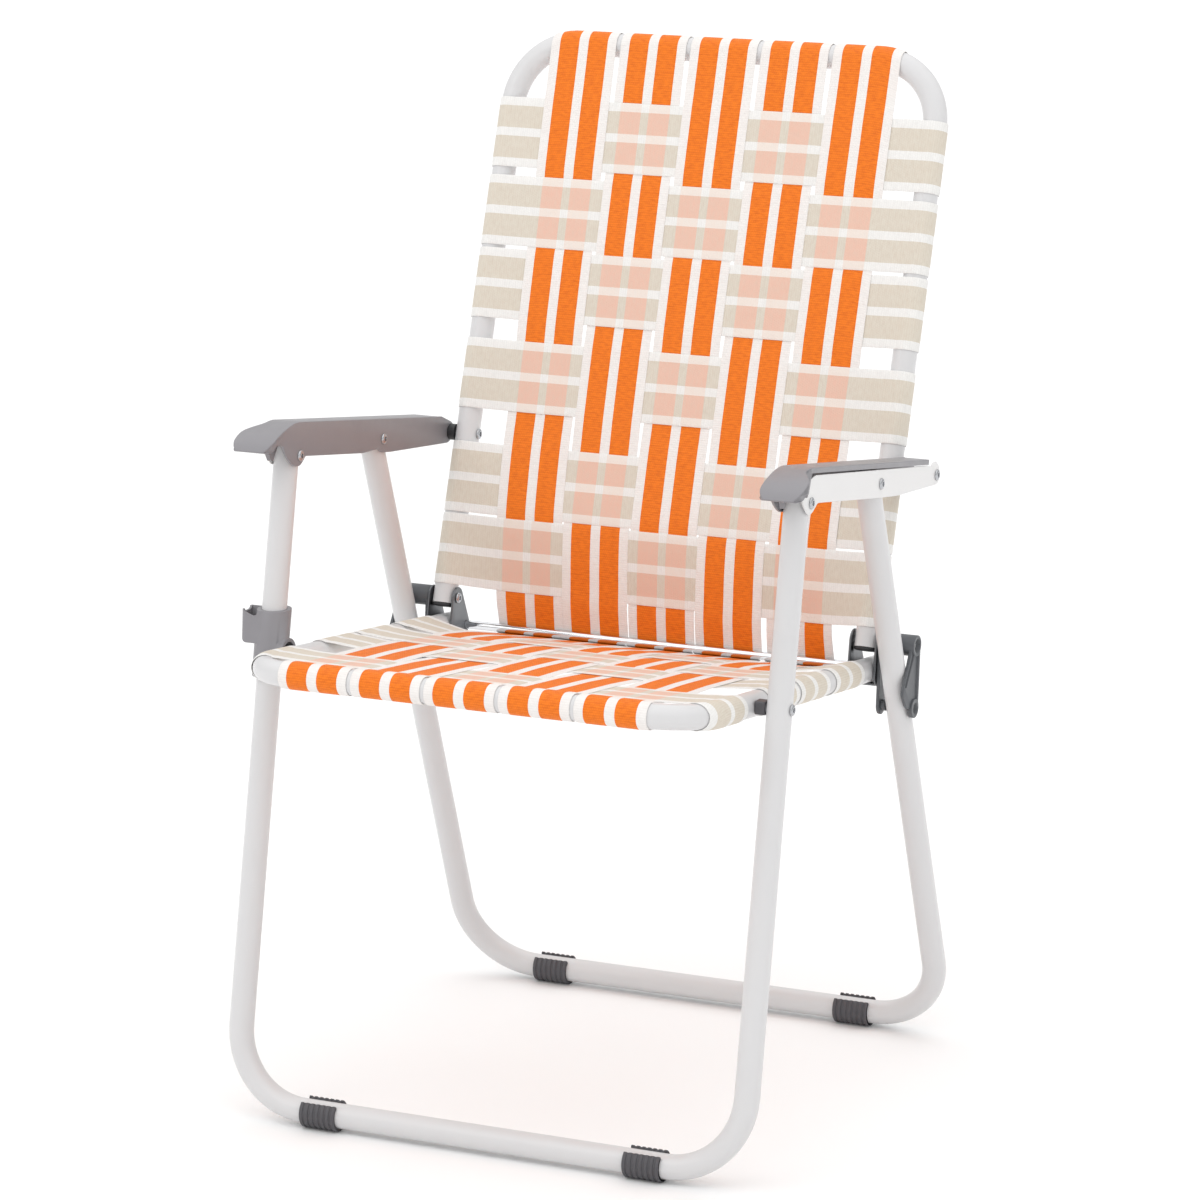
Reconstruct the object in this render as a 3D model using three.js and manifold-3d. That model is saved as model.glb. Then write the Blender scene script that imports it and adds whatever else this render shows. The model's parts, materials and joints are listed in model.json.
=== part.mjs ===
// A folding lawn chair with a woven webbing seat and back.
// Lengths are in millimetres. X runs across the chair, Y from front to back and Z up.
// Side views are drawn in (Y, Z); the front leg's bottom bar lies at Y = 0.
import * as THREE from 'three';
import { mergeVertices } from 'three/addons/utils/BufferGeometryUtils.js';
import Module from 'manifold-3d';

const wasm = await Module();
wasm.setup();

// Driving dimensions
const tubeRadius = 11;
const seatHalfWidth = 209.6;
const legGap = 10;
const fit = 0.3;
const footLift = 3;
const sheet = 2;

// The back frame leans from the hinge pivot
const backLean = THREE.MathUtils.degToRad(18.63);
const backTail = 6;
const backCornerRadius = 60;
const armPivotRise = 153.2;

// The legs stand on two bottom bars and lean towards each other.
// The rear leg passes in front of the hinge pivot and ends a little over the arm's pivot line.
const footSpread = 471.8;
const legCornerRadius = 68;
const frontLean = THREE.MathUtils.degToRad(11.165);
const frontPivotReach = 569.7;
const frontOverrun = 12;
const seatPivotReach = 396;
const hingeToLeg = 23;
const middlePivotRise = 3.1;
const rearOverrun = 9;
const linkPivotReach = 350;

// The crease rod lies behind and below the hinge pivot. The seat frame runs forwards from it.
const hingeY = 353.4;
const hingeZ = 398;
const rodBehind = 16.43;
const rodBelow = 28.56;
const rodRadius = 4;
const rodToSeatEnd = 5;
const seatDrop = 1;
const seatCornerRadius = 50;

// Pins and rivets
const pinRadius = 3;
const rivetHeadRadius = 5;
const rivetHeadHeight = 2;

// Webbing
const strapWidth = 65.5;
const strapPitch = 69.3;
const strapThickness = 1.2;
const strapLift = 0.5;
const weaveOffset = 0.9;

// The cross straps and the gaps between them set how long the two frames are
const backFirstStrap = 44.6;
const backStrapGaps = [1.9, 31.5, 19.5, 3, 8];
const backLastStrap = 88;
const seatFirstStrap = 83.4;
const seatStrapGaps = [15, 3.9, 48.2];
const seatLastStrap = 54.3;

const tubeSides = 16;
const rivetSides = 10;
const cornerSteps = 7;
const roundSides = 12;

const side = (y, z) => new THREE.Vector2(y, z);
const direction = (angle) => side(Math.sin(angle), Math.cos(angle));
const along = (start, step, reach) => start.clone().addScaledVector(step, reach);
const place = (x, point) => new THREE.Vector3(x, point.x, point.y);

// Centres of cross straps, from the first one on over the gaps
function strapCentres(first, gaps) {
  const centres = [first];
  gaps.forEach((gap) => centres.push(centres.at(-1) + strapWidth + gap));
  return centres;
}

const backCentres = strapCentres(backFirstStrap, backStrapGaps);
const seatCentres = strapCentres(seatFirstStrap, seatStrapGaps);
const backRise = backCentres.at(-1) + backLastStrap;
const seatReach = seatCentres.at(-1) + seatLastStrap;

// Pivot places in the side view
const barHeight = tubeRadius + footLift;
const frontFoot = side(0, barHeight);
const rearFoot = side(footSpread, barHeight);
const frontUp = direction(frontLean);
const backUp = direction(backLean);
const backFront = side(-backUp.y, backUp.x);
const hingePivot = side(hingeY, hingeZ);
const frontPivot = along(frontFoot, frontUp, frontPivotReach);
const seatPivot = along(frontFoot, frontUp, seatPivotReach);
const rearPivot = along(hingePivot, backUp, armPivotRise);

// The rear leg leans so that it clears the hinge pivot, and meets the arm's raised pivot line
const toHinge = hingePivot.clone().sub(rearFoot);
const hingeLean = Math.atan2(toHinge.x, toHinge.y);
const rearUp = direction(hingeLean - Math.asin(hingeToLeg / toHinge.length()));
const armBack = rearPivot.clone().sub(frontPivot).normalize();
const armUp = side(-armBack.y, armBack.x);
const toArmLine = middlePivotRise + frontPivot.clone().sub(rearFoot).dot(armUp);
const middlePivot = along(rearFoot, rearUp, toArmLine / rearUp.dot(armUp));
const linkPivot = along(rearFoot, rearUp, linkPivotReach);

// Places on the seat frame are reached forwards from the rod; those on the back, up from the hinge
const rodCentre = side(hingePivot.x + rodBehind, hingePivot.y - rodBelow);
const toSeatPivot = seatPivot.clone().sub(rodCentre);
const seatTilt = Math.atan2(toSeatPivot.y, -toSeatPivot.x) - Math.asin(seatDrop / toSeatPivot.length());
const seatFront = side(-Math.cos(seatTilt), Math.sin(seatTilt));
const seatUp = side(seatFront.y, -seatFront.x);
const onSeat = (reach, rise) => along(along(rodCentre, seatFront, reach), seatUp, rise);
const onBack = (rise, front) => along(along(hingePivot, backUp, rise), backFront, front);
const legHalfWidth = seatHalfWidth + tubeRadius + legGap + tubeRadius;

// Layers across the chair, from the middle plane outwards
const tubeInner = seatHalfWidth - tubeRadius;
const tubeOuter = seatHalfWidth + tubeRadius;
const legInner = legHalfWidth - tubeRadius;
const legOuter = legHalfWidth + tubeRadius;

const chair = new THREE.Group();

const paints = {
  white: { color: 0xf0f0ee, roughness: 0.35, metalness: 0 },
  grey: { color: 0x8c8d94, roughness: 0.5, metalness: 0 },
  dark: { color: 0x4a4b50, roughness: 0.6, metalness: 0 },
  steel: { color: 0xc8cad0, roughness: 0.2, metalness: 1 },
  orange: { color: 0xf47a1c, roughness: 0.8, metalness: 0 },
  beige: { color: 0xe6dfd2, roughness: 0.8, metalness: 0 },
};

function add(name, geometry, paint) {
  const mesh = new THREE.Mesh(geometry, new THREE.MeshStandardMaterial(paints[paint]));
  mesh.name = name;
  chair.add(mesh);
}

// Solids that are cut or joined
function toSolid(geometry) {
  const bare = geometry.clone();
  bare.deleteAttribute('normal');
  bare.deleteAttribute('uv');
  const merged = mergeVertices(bare);
  return new wasm.Manifold(new wasm.Mesh({
    numProp: 3,
    vertProperties: new Float32Array(merged.attributes.position.array),
    triVerts: new Uint32Array(merged.index.array),
  }));
}

function toGeometry(solid) {
  const mesh = solid.getMesh();
  const geometry = new THREE.BufferGeometry();
  geometry.setAttribute('position', new THREE.BufferAttribute(mesh.vertProperties, 3));
  geometry.setIndex(new THREE.BufferAttribute(mesh.triVerts, 1));
  return geometry;
}

function join(first, ...others) {
  return toGeometry(others.reduce((solid, other) => solid.add(toSolid(other)), toSolid(first)));
}

function cut(first, ...tools) {
  return toGeometry(tools.reduce((solid, tool) => solid.subtract(toSolid(tool)), toSolid(first)));
}

// A bent tube: straight runs between corners of one radius
class BentLine extends THREE.Curve {
  constructor(corners, radius) {
    super();
    this.stations = [];
    const last = corners.length - 1;
    corners.forEach((corner, index) => {
      if (index === 0 || index === last) {
        const other = corners[index === 0 ? 1 : last - 1];
        const run = index === 0 ? other.clone().sub(corner) : corner.clone().sub(other);
        this.stations.push({ point: corner.clone(), tangent: run.normalize() });
        return;
      }
      const before = corner.clone().sub(corners[index - 1]).normalize();
      const after = corners[index + 1].clone().sub(corner).normalize();
      const turn = before.angleTo(after);
      const inward = after.clone().sub(before).normalize();
      const centre = corner.clone().addScaledVector(inward, radius / Math.cos(turn / 2));
      for (let step = 0; step <= cornerSteps; step += 1) {
        const angle = (turn * step) / cornerSteps - turn / 2;
        const middle = before.clone().add(after).normalize();
        const point = centre.clone()
          .addScaledVector(inward, -radius * Math.cos(angle))
          .addScaledVector(middle, radius * Math.sin(angle));
        const tangent = middle.multiplyScalar(Math.cos(angle)).addScaledVector(inward, Math.sin(angle));
        this.stations.push({ point, tangent: tangent.normalize() });
      }
    });
  }

  getPointAt(share, target = new THREE.Vector3()) {
    return target.copy(this.stations[Math.round(share * (this.stations.length - 1))].point);
  }

  getTangentAt(share, target = new THREE.Vector3()) {
    return target.copy(this.stations[Math.round(share * (this.stations.length - 1))].tangent);
  }
}

function bentTube(corners, cornerRadius) {
  const section = new THREE.Shape();
  section.absarc(0, 0, tubeRadius, 0, 2 * Math.PI);
  const line = new BentLine(corners, cornerRadius);
  return new THREE.ExtrudeGeometry(section, {
    steps: line.stations.length - 1,
    curveSegments: tubeSides / 2,
    extrudePath: line,
  });
}

// A U-shaped frame in the side view: two side tubes joined by a bar at the closed end
function uFrame(halfWidth, openEnd, closedEnd, cornerRadius) {
  return bentTube([
    place(-halfWidth, openEnd),
    place(-halfWidth, closedEnd),
    place(halfWidth, closedEnd),
    place(halfWidth, openEnd),
  ], cornerRadius);
}

// Shapes drawn in the side view and extruded across the chair
function across(shape, from, to, bevel = 0) {
  const low = Math.min(from, to);
  const high = Math.max(from, to);
  const geometry = new THREE.ExtrudeGeometry(shape, {
    depth: high - low - 2 * bevel,
    bevelEnabled: bevel > 0,
    bevelThickness: bevel,
    bevelSize: bevel,
    bevelOffset: -bevel,
    bevelSegments: 2,
    curveSegments: roundSides / 2,
  });
  geometry.translate(0, 0, low + bevel);
  const turn = new THREE.Matrix4().makeBasis(
    new THREE.Vector3(0, 1, 0),
    new THREE.Vector3(0, 0, 1),
    new THREE.Vector3(1, 0, 0),
  );
  return geometry.applyMatrix4(turn);
}

function disc(centre, radius, from, to, sides = roundSides) {
  const geometry = new THREE.CylinderGeometry(radius, radius, Math.abs(to - from), sides);
  geometry.rotateZ(Math.PI / 2);
  return geometry.translate((from + to) / 2, centre.x, centre.y);
}

// The outline of circles wrapped by one band, anticlockwise in the side view
function wrapped(circles) {
  const points = [];
  const steps = 2 * roundSides;
  circles.forEach(([centre, radius]) => {
    for (let step = 0; step < steps; step += 1) {
      points.push(along(centre, direction((2 * Math.PI * step) / steps), radius));
    }
  });
  points.sort((a, b) => a.x - b.x || a.y - b.y);
  const turn = (a, b, c) => (b.x - a.x) * (c.y - a.y) - (b.y - a.y) * (c.x - a.x);
  const half = (list) => {
    const chain = [];
    list.forEach((point) => {
      while (chain.length > 1 && turn(chain.at(-2), chain.at(-1), point) <= 0) chain.pop();
      chain.push(point);
    });
    return chain.slice(0, -1);
  };
  return new THREE.Shape([...half(points), ...half([...points].reverse())]);
}

// A rivet across the chair: domed heads outside the two ends of its shank
const headCrownShare = 0.6;
const headShoulderShare = 0.8;

function rivet(centre, from, to, headFrom = true, headTo = true) {
  const dome = (level, way) => [
    side(pinRadius, level),
    side(rivetHeadRadius, level),
    side(rivetHeadRadius * headCrownShare, level + way * rivetHeadHeight * headShoulderShare),
    side(0, level + way * rivetHeadHeight),
  ];
  const low = Math.min(from, to);
  const high = Math.max(from, to);
  const headLow = from < to ? headFrom : headTo;
  const headHigh = from < to ? headTo : headFrom;
  const bottom = headLow ? dome(low, -1).reverse() : [side(0, low), side(pinRadius, low)];
  const top = headHigh ? dome(high, 1) : [side(pinRadius, high), side(0, high)];
  const geometry = new THREE.LatheGeometry([...bottom, ...top], rivetSides);
  geometry.rotateZ(-Math.PI / 2);
  return geometry.translate(0, centre.x, centre.y);
}

const bore = (centre, from, to) => disc(centre, pinRadius + fit, from, to);

// Frames
const legTop = (pivot, up, overrun) => along(pivot, up, overrun);
const cutRun = tubeRadius + legGap;

function bores(centre, halfWidth) {
  return [-1, 1].map((way) => bore(centre, way * (halfWidth - cutRun), way * (halfWidth + cutRun)));
}

add('front_leg_frame', cut(
  uFrame(legHalfWidth, legTop(frontPivot, frontUp, frontOverrun), frontFoot, legCornerRadius),
  ...bores(frontPivot, legHalfWidth),
  ...bores(seatPivot, legHalfWidth),
), 'white');

add('rear_leg_frame', cut(
  uFrame(legHalfWidth, legTop(middlePivot, rearUp, rearOverrun), rearFoot, legCornerRadius),
  ...bores(middlePivot, legHalfWidth),
), 'white');

add('back_frame', cut(
  uFrame(seatHalfWidth, onBack(-backTail, 0), onBack(backRise, 0), backCornerRadius),
  ...bores(hingePivot, seatHalfWidth),
  ...bores(rearPivot, seatHalfWidth),
), 'white');

add('seat_frame', uFrame(
  seatHalfWidth,
  onSeat(-rodToSeatEnd, 0),
  onSeat(seatReach, 0),
  seatCornerRadius,
), 'white');

// Plugs in the open ends of the back and seat tubes
const plugLength = 3;

function plug(end, way, x) {
  const geometry = new THREE.CylinderGeometry(tubeRadius, tubeRadius, plugLength, tubeSides);
  const axis = new THREE.Vector3(0, way.x, way.y);
  geometry.applyQuaternion(new THREE.Quaternion().setFromUnitVectors(new THREE.Vector3(0, 1, 0), axis));
  const centre = place(x, along(end, way, fit + plugLength / 2));
  return geometry.translate(centre.x, centre.y, centre.z);
}

// The crease rod lies in the inner ears of the two hinge brackets
const rodEnd = tubeInner - fit;
add('crease_rod', disc(rodCentre, rodRadius, -rodEnd, rodEnd), 'steel');

// A hinge bracket: two ears joined by a web under the seat tube
const earPivotRadius = 11;
const earRodRadius = 14;
const earLength = 18;
const webReach = 20;
const earOverlap = 0.5;

function hingeBracket(way) {
  const webFloor = tubeRadius + fit;
  const outline = wrapped([
    [hingePivot, earPivotRadius],
    [rodCentre, earRodRadius],
    [onSeat(earLength, 0), webFloor + sheet],
  ]);
  const innerEar = across(outline, way * (tubeInner - fit), way * (tubeInner - fit - sheet));
  const outerEar = across(outline, way * (tubeOuter + fit), way * (tubeOuter + fit + sheet));
  const webOutline = new THREE.Shape([
    onSeat(earLength, -webFloor),
    onSeat(earLength, -webFloor - sheet),
    onSeat(earLength - webReach, -webFloor - sheet),
    onSeat(earLength - webReach, -webFloor),
  ]);
  const web = across(
    webOutline,
    way * (tubeInner - fit - earOverlap),
    way * (tubeOuter + fit + earOverlap),
  );
  return cut(
    join(innerEar, outerEar, web),
    bore(hingePivot, way * (tubeInner - legGap), way * legInner),
    disc(rodCentre, rodRadius + fit, way * (tubeInner - legGap), way * seatHalfWidth),
  );
}

// A hinge link: an outer and an inner cheek on one barrel, hung from the hinge pivot
const barrelRadius = 9.5;
const cheekThickness = 3;
const cheekRim = 1.7;
const lowerBossRadius = 8.7;
const recessRadius = 6.5;
const recessDepth = 5;
const lowerRecessRadius = 5;
const lowerRecessDepth = 2.5;
const innerCheekRadius = 8.5;
const innerCheekThickness = 2.8;
const studRadius = 5;
const wingReach = 27;
const ribWidth = 3;
const ribShare = 0.85;
const wingShares = [
  [0, -0.21], [1, -0.21], [1, 0.32], [0.95, 0.64], [0.72, 1], [0.6, 0.93], [0.28, 0.55], [0, 0.28],
];
const linkInner = tubeOuter + fit + sheet + fit;
const linkOuter = legOuter + fit + cheekThickness + cheekRim;

function hingeLink(way) {
  const length = hingePivot.distanceTo(linkPivot);
  const down = linkPivot.clone().sub(hingePivot).normalize();
  const forward = side(down.y, -down.x);
  const onLink = (share, front) => along(along(hingePivot, down, length * share), forward, front);
  const wing = new THREE.Shape(wingShares.map(([share, front]) => onLink(share, wingReach * front)));
  const rib = new THREE.Shape([
    onLink(0, -barrelRadius * ribShare),
    onLink(1, -lowerBossRadius * ribShare),
    onLink(1, -lowerBossRadius * ribShare + ribWidth),
    onLink(0, -barrelRadius * ribShare + ribWidth),
  ]);
  const cheekInner = way * (legOuter + fit);
  const cheekOuter = way * (legOuter + fit + cheekThickness);
  const body = join(
    disc(hingePivot, barrelRadius, way * linkInner, way * linkOuter, tubeSides),
    across(wing, cheekInner, cheekOuter),
    across(rib, cheekInner, way * linkOuter),
    disc(linkPivot, lowerBossRadius, cheekInner, way * linkOuter, tubeSides),
    across(
      wrapped([[hingePivot, innerCheekRadius], [linkPivot, innerCheekRadius]]),
      way * linkInner,
      way * (linkInner + innerCheekThickness),
    ),
    disc(linkPivot, studRadius, way * (linkInner + earOverlap), way * (legInner - fit)),
  );
  return cut(
    body,
    bore(hingePivot, way * tubeOuter, way * (linkOuter + legGap)),
    disc(hingePivot, recessRadius, way * (linkOuter - recessDepth), way * (linkOuter + legGap), tubeSides),
    disc(linkPivot, lowerRecessRadius, way * (linkOuter - lowerRecessDepth), way * (linkOuter + legGap)),
  );
}

// An arm: a steel side plate outside the legs and a moulded armrest over them.
// Its outlines are drawn from its three pivots, forwards along the arm and up from it.
const plateThickness = 1.5;
const plateInner = legOuter + fit;
const plateOuter = plateInner + plateThickness;
const plateGap = 0.8;
const skirtThickness = 2.3;
const armInner = legInner - fit - skirtThickness;
const lipOverhang = 0.8;
const armOuter = plateOuter + lipOverhang;
const armSkin = 3;
const armLip = 6;
const armBevel = 1.5;
const by = (pivot, forward, rise) => along(along(pivot, armBack, -forward), armUp, rise);
const outlineBy = (pivot, offsets) => offsets.map(([forward, rise]) => by(pivot, forward, rise));

// The armrest's top line runs from above the front pivot to above the rear pivot
const topFrontReach = 3.1;
const topFrontRise = 29.9;
const topEndReach = 17.6;
const topEndRise = 15.2;
const armTopFront = by(frontPivot, topFrontReach, topFrontRise);
const armTopEnd = by(rearPivot, topEndReach, topEndRise);
const lipEndShare = 0.98;
const underTop = (share, drop) => along(armTopFront.clone().lerp(armTopEnd, share), armUp, -drop);

// The nose curls down in front of the front pivot
const noseReach = 58.4;
const noseRise = 0.6;
const noseShares = [[0.19, 0.05], [0.43, 0.2], [0.69, 0.44], [0.89, 0.72], [1, 1]];

function noseCurve(inset) {
  const reach = noseReach - topFrontReach - inset;
  const depth = topFrontRise - noseRise - inset;
  return noseShares.map(([forward, drop]) => by(
    frontPivot,
    topFrontReach + forward * reach,
    topFrontRise - inset - drop * depth,
  ));
}

// The skirt hangs in lobes round the pivots
const frontSkirt = [
  [55.2, -0.9], [47.6, 3.7], [42.9, 11.7], [32.3, 10.8], [23.4, 0],
  [15.5, -5.6], [8.1, -9.1], [-0.9, -9], [-6.8, -4.7], [-10.1, -1.2],
];
const middleSkirt = [[40.2, -10.1], [9.2, -8.6], [2.8, -12.3], [-15.4, -13.1]];
const rearSkirt = [[2.6, -10.3], [-7.7, -4.6], [-9, 0.9], [-4.6, 8.6]];

// On the outside the lip ends along this line, and all below it is cut away
const cutMargin = 60;
const lipNose = [[19, 15.1], [36.5, 2.8], [38, -cutMargin]];
const lipEnd = [[-cutMargin, -cutMargin], [-cutMargin, cutMargin], [topEndReach, cutMargin]];
const hollowEnd = [[-cutMargin, -cutMargin], [-cutMargin, topEndRise - armSkin]];
const hollowNoseReach = 53.6;

function armrest(way) {
  const outline = new THREE.Shape([
    armTopEnd,
    armTopFront,
    ...noseCurve(0),
    ...outlineBy(frontPivot, frontSkirt),
    ...outlineBy(middlePivot, middleSkirt),
    ...outlineBy(rearPivot, rearSkirt),
  ]);
  const shell = across(outline, way * armInner, way * armOuter, armBevel);
  const hollow = new THREE.Shape([
    underTop(1, armSkin),
    underTop(0, armSkin),
    ...noseCurve(armSkin).slice(0, -1),
    by(frontPivot, hollowNoseReach, -cutMargin),
    ...outlineBy(rearPivot, hollowEnd),
  ]);
  const lipCut = new THREE.Shape([
    underTop(lipEndShare, armLip),
    underTop(0, armLip),
    ...outlineBy(frontPivot, lipNose),
    ...outlineBy(rearPivot, lipEnd),
  ]);
  return cut(
    shell,
    across(hollow, way * (armInner + skirtThickness), way * (plateInner - fit)),
    across(lipCut, way * (armInner + skirtThickness), way * (armOuter + legGap)),
    bore(frontPivot, way * (armInner - legGap), way * plateOuter),
    bore(middlePivot, way * (armInner - legGap), way * plateOuter),
    bore(rearPivot, way * (armInner - legGap), way * plateOuter),
  );
}

// The plate's lobes follow the pivots too
const plateFront = [
  [6, 19.5], [13.6, 15.2], [19, 8.6], [19.7, 3], [13.7, -3.4],
  [6.7, -8.7], [2, -9.9], [-3.9, -8.3], [-14.7, -1.1],
];
const plateMiddle = [[3.3, -12]];
const plateRear = [
  [92.4, -10.7], [-1.9, -8.6], [-7.1, -5.3], [-8.6, 1.4],
  [-5.2, 8.1], [2.3, 12.3], [7.3, 12.3], [13, 8.7],
];
const plateStartShare = 0.04;

function armPlate(way) {
  const outline = new THREE.Shape([
    underTop(plateStartShare, armLip + plateGap),
    ...outlineBy(frontPivot, plateFront),
    ...outlineBy(middlePivot, plateMiddle),
    ...outlineBy(rearPivot, plateRear),
    underTop(lipEndShare, armLip + plateGap),
  ]);
  return cut(
    across(outline, way * plateInner, way * plateOuter),
    bore(frontPivot, way * legInner, way * armOuter),
    bore(middlePivot, way * legInner, way * armOuter),
    bore(rearPivot, way * legInner, way * armOuter),
  );
}

// Spacers: a block between seat tube and front leg, and a bush between back tube and armrest
const spacerSide = 14;
const bushRadius = 7.5;

// An upright rectangle round a place in the side view
const squareBy = (centre, half, low, high) => new THREE.Shape([
  side(centre.x - half, centre.y + low),
  side(centre.x + half, centre.y + low),
  side(centre.x + half, centre.y + high),
  side(centre.x - half, centre.y + high),
]);

function seatSpacer(way) {
  const half = spacerSide / 2;
  return across(squareBy(seatPivot, half, -half, half), way * (tubeOuter + fit), way * (legInner - fit));
}

function armBush(way) {
  return cut(
    disc(rearPivot, bushRadius, way * (tubeOuter + fit), way * (armInner - fit), tubeSides),
    bore(rearPivot, way * tubeInner, way * legOuter),
  );
}

for (const [label, way] of [['left', -1], ['right', 1]]) {
  add(`back_plug_${label}`, plug(onBack(-backTail, 0), backUp.clone().negate(), way * seatHalfWidth), 'dark');
  add(`seat_plug_${label}`, plug(onSeat(-rodToSeatEnd, 0), seatFront.clone().negate(), way * seatHalfWidth), 'grey');
  add(`hinge_bracket_${label}`, hingeBracket(way), 'steel');
  add(`hinge_link_${label}`, hingeLink(way), 'grey');
  add(`arm_plate_${label}`, armPlate(way), 'white');
  add(`armrest_${label}`, armrest(way), 'grey');
  add(`seat_spacer_${label}`, seatSpacer(way), 'dark');
  add(`arm_bush_${label}`, armBush(way), 'dark');
  const headGap = fit;
  const armHeads = [way * (armInner - headGap), way * (plateOuter + headGap)];
  add(`front_arm_rivet_${label}`, rivet(frontPivot, ...armHeads), 'steel');
  add(`middle_arm_rivet_${label}`, rivet(middlePivot, ...armHeads), 'steel');
  add(`rear_arm_rivet_${label}`, rivet(rearPivot, way * (tubeInner - headGap), armHeads[1]), 'steel');
  add(`seat_rivet_${label}`, rivet(seatPivot, way * (legInner + fit), way * (legOuter + fit), false), 'steel');
  add(`hinge_rivet_${label}`, rivet(
    hingePivot,
    way * (tubeInner - fit - sheet - headGap),
    way * (linkOuter - recessDepth + headGap),
  ), 'steel');
}

// Foot pads clip onto the bottom bars and carry the chair on flat soles
const padLength = 34;
const padToBend = 0.6;
const padPlace = legHalfWidth - legCornerRadius - padToBend - padLength / 2;
const padWall = 2.3;
const padSole = 10;
const padOpening = THREE.MathUtils.degToRad(60);
const padHeel = THREE.MathUtils.degToRad(20);

function footPad(foot, way) {
  const inner = tubeRadius + fit;
  const outer = inner + padWall;
  const top = Math.PI / 2;
  const section = new THREE.Shape();
  section.moveTo(foot.x - padSole, foot.y - barHeight);
  section.lineTo(foot.x + padSole, foot.y - barHeight);
  section.absarc(foot.x, foot.y, outer, -padHeel, top - padOpening, false);
  section.absarc(foot.x, foot.y, inner, top - padOpening, top + padOpening, true);
  section.absarc(foot.x, foot.y, outer, top + padOpening, Math.PI + padHeel, false);
  return across(section, way * (padPlace - padLength / 2), way * (padPlace + padLength / 2));
}

for (const [label, way] of [['left', -1], ['right', 1]]) {
  add(`front_foot_pad_${label}`, footPad(frontFoot, way), 'dark');
  add(`rear_foot_pad_${label}`, footPad(rearFoot, way), 'dark');
}

// The holder clip: a sleeve round the left front leg with an open pocket on its outer side
const clipBottom = 383;
const clipHeight = 55;
const clipWall = 4;
const pocketHeight = 38;
const pocketReach = 13.5;
const pocketHalf = 9;
const pocketWall = 2;
const pocketMouth = 5;
const clipNotch = 16;

function holderClip() {
  const inner = tubeRadius + fit;
  const outer = inner + clipWall;
  const upright = (shape, height) => new THREE.ExtrudeGeometry(shape, {
    depth: height,
    bevelEnabled: false,
    curveSegments: roundSides,
  });
  const sleeve = new THREE.Shape();
  sleeve.absarc(0, 0, outer, 0, 2 * Math.PI);
  const hole = new THREE.Path();
  hole.absarc(0, 0, inner, 0, 2 * Math.PI, true);
  sleeve.holes.push(hole);
  const far = -outer - pocketReach + clipWall;
  const near = -inner - fit;
  const pocket = new THREE.Shape([
    side(near, -pocketHalf),
    side(near, pocketHalf),
    side(far, pocketHalf),
    side(far, pocketMouth),
    side(far + pocketWall, pocketMouth),
    side(far + pocketWall, pocketHalf - pocketWall),
    side(near - clipWall, pocketHalf - pocketWall),
    side(near - clipWall, -pocketHalf + pocketWall),
    side(far + pocketWall, -pocketHalf + pocketWall),
    side(far + pocketWall, -pocketMouth),
    side(far, -pocketMouth),
    side(far, -pocketHalf),
  ]);
  const walls = upright(pocket, pocketHeight);
  walls.translate(0, 0, clipHeight - pocketHeight);
  const clip = join(upright(sleeve, clipHeight), walls);
  clip.rotateX(-frontLean);
  const foot = along(frontFoot, frontUp, (clipBottom - barHeight) / frontUp.y);
  clip.translate(-legHalfWidth, foot.x, foot.y);
  const notch = squareBy(seatPivot, clipNotch, -clipHeight, clipNotch);
  return cut(
    clip,
    across(notch, -legHalfWidth + tubeRadius / 2, -seatHalfWidth),
    disc(seatPivot, rivetHeadRadius + fit, -legHalfWidth, -legHalfWidth - outer - pocketReach),
  );
}

add('holder_clip', holderClip(), 'grey');

// Webbing. A band is a grid of centre points, each with the way in which its thickness lies.
function band(rows) {
  const columns = rows[0].length;
  const points = [];
  const faces = [];
  const half = strapThickness / 2;
  rows.forEach((row) => row.forEach(({ point, out }) => {
    points.push(point.clone().addScaledVector(out, half), point.clone().addScaledVector(out, -half));
  }));
  const corner = (row, column, under) => 2 * (row * columns + column) + under;
  const quad = (a, b, c, d) => faces.push(a, b, c, a, c, d);
  for (let row = 0; row < rows.length - 1; row += 1) {
    for (let column = 0; column < columns - 1; column += 1) {
      const around = (under) => [
        corner(row, column, under),
        corner(row, column + 1, under),
        corner(row + 1, column + 1, under),
        corner(row + 1, column, under),
      ];
      quad(...around(0));
      const [a, b, c, d] = around(1);
      faces.push(a, c, b, a, d, c);
    }
    for (const column of [0, columns - 1]) {
      const edge = [
        corner(row, column, 0),
        corner(row + 1, column, 0),
        corner(row + 1, column, 1),
        corner(row, column, 1),
      ];
      quad(...(column === 0 ? edge : edge.reverse()));
    }
  }
  for (const row of [0, rows.length - 1]) {
    for (let column = 0; column < columns - 1; column += 1) {
      const end = [
        corner(row, column, 0),
        corner(row, column, 1),
        corner(row, column + 1, 1),
        corner(row, column + 1, 0),
      ];
      quad(...(row === 0 ? end : end.reverse()));
    }
  }
  const geometry = new THREE.BufferGeometry();
  geometry.setAttribute('position', new THREE.Float32BufferAttribute(points.flatMap((p) => p.toArray()), 3));
  geometry.setIndex(signedVolume(points, faces) < 0 ? faces.reverse() : faces);
  return geometry;
}

function signedVolume(points, faces) {
  let total = 0;
  for (let index = 0; index < faces.length; index += 3) {
    const [a, b, c] = [0, 1, 2].map((offset) => points[faces[index + offset]]);
    total += a.dot(b.clone().cross(c));
  }
  return total;
}

// Both webs lie on tubes of one size
const wrapRadius = tubeRadius + strapLift + strapThickness / 2;
const wrapSteps = 10;
const wrapTurn = THREE.MathUtils.degToRad(200);
const frontWrapTurn = THREE.MathUtils.degToRad(180);
const strapHalf = strapWidth / 2;
const upCentres = [-2, -1, 0, 1, 2].map((step) => step * strapPitch);
const edgeX = upCentres.flatMap((centre) => [centre - strapHalf, centre + strapHalf]);

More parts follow.
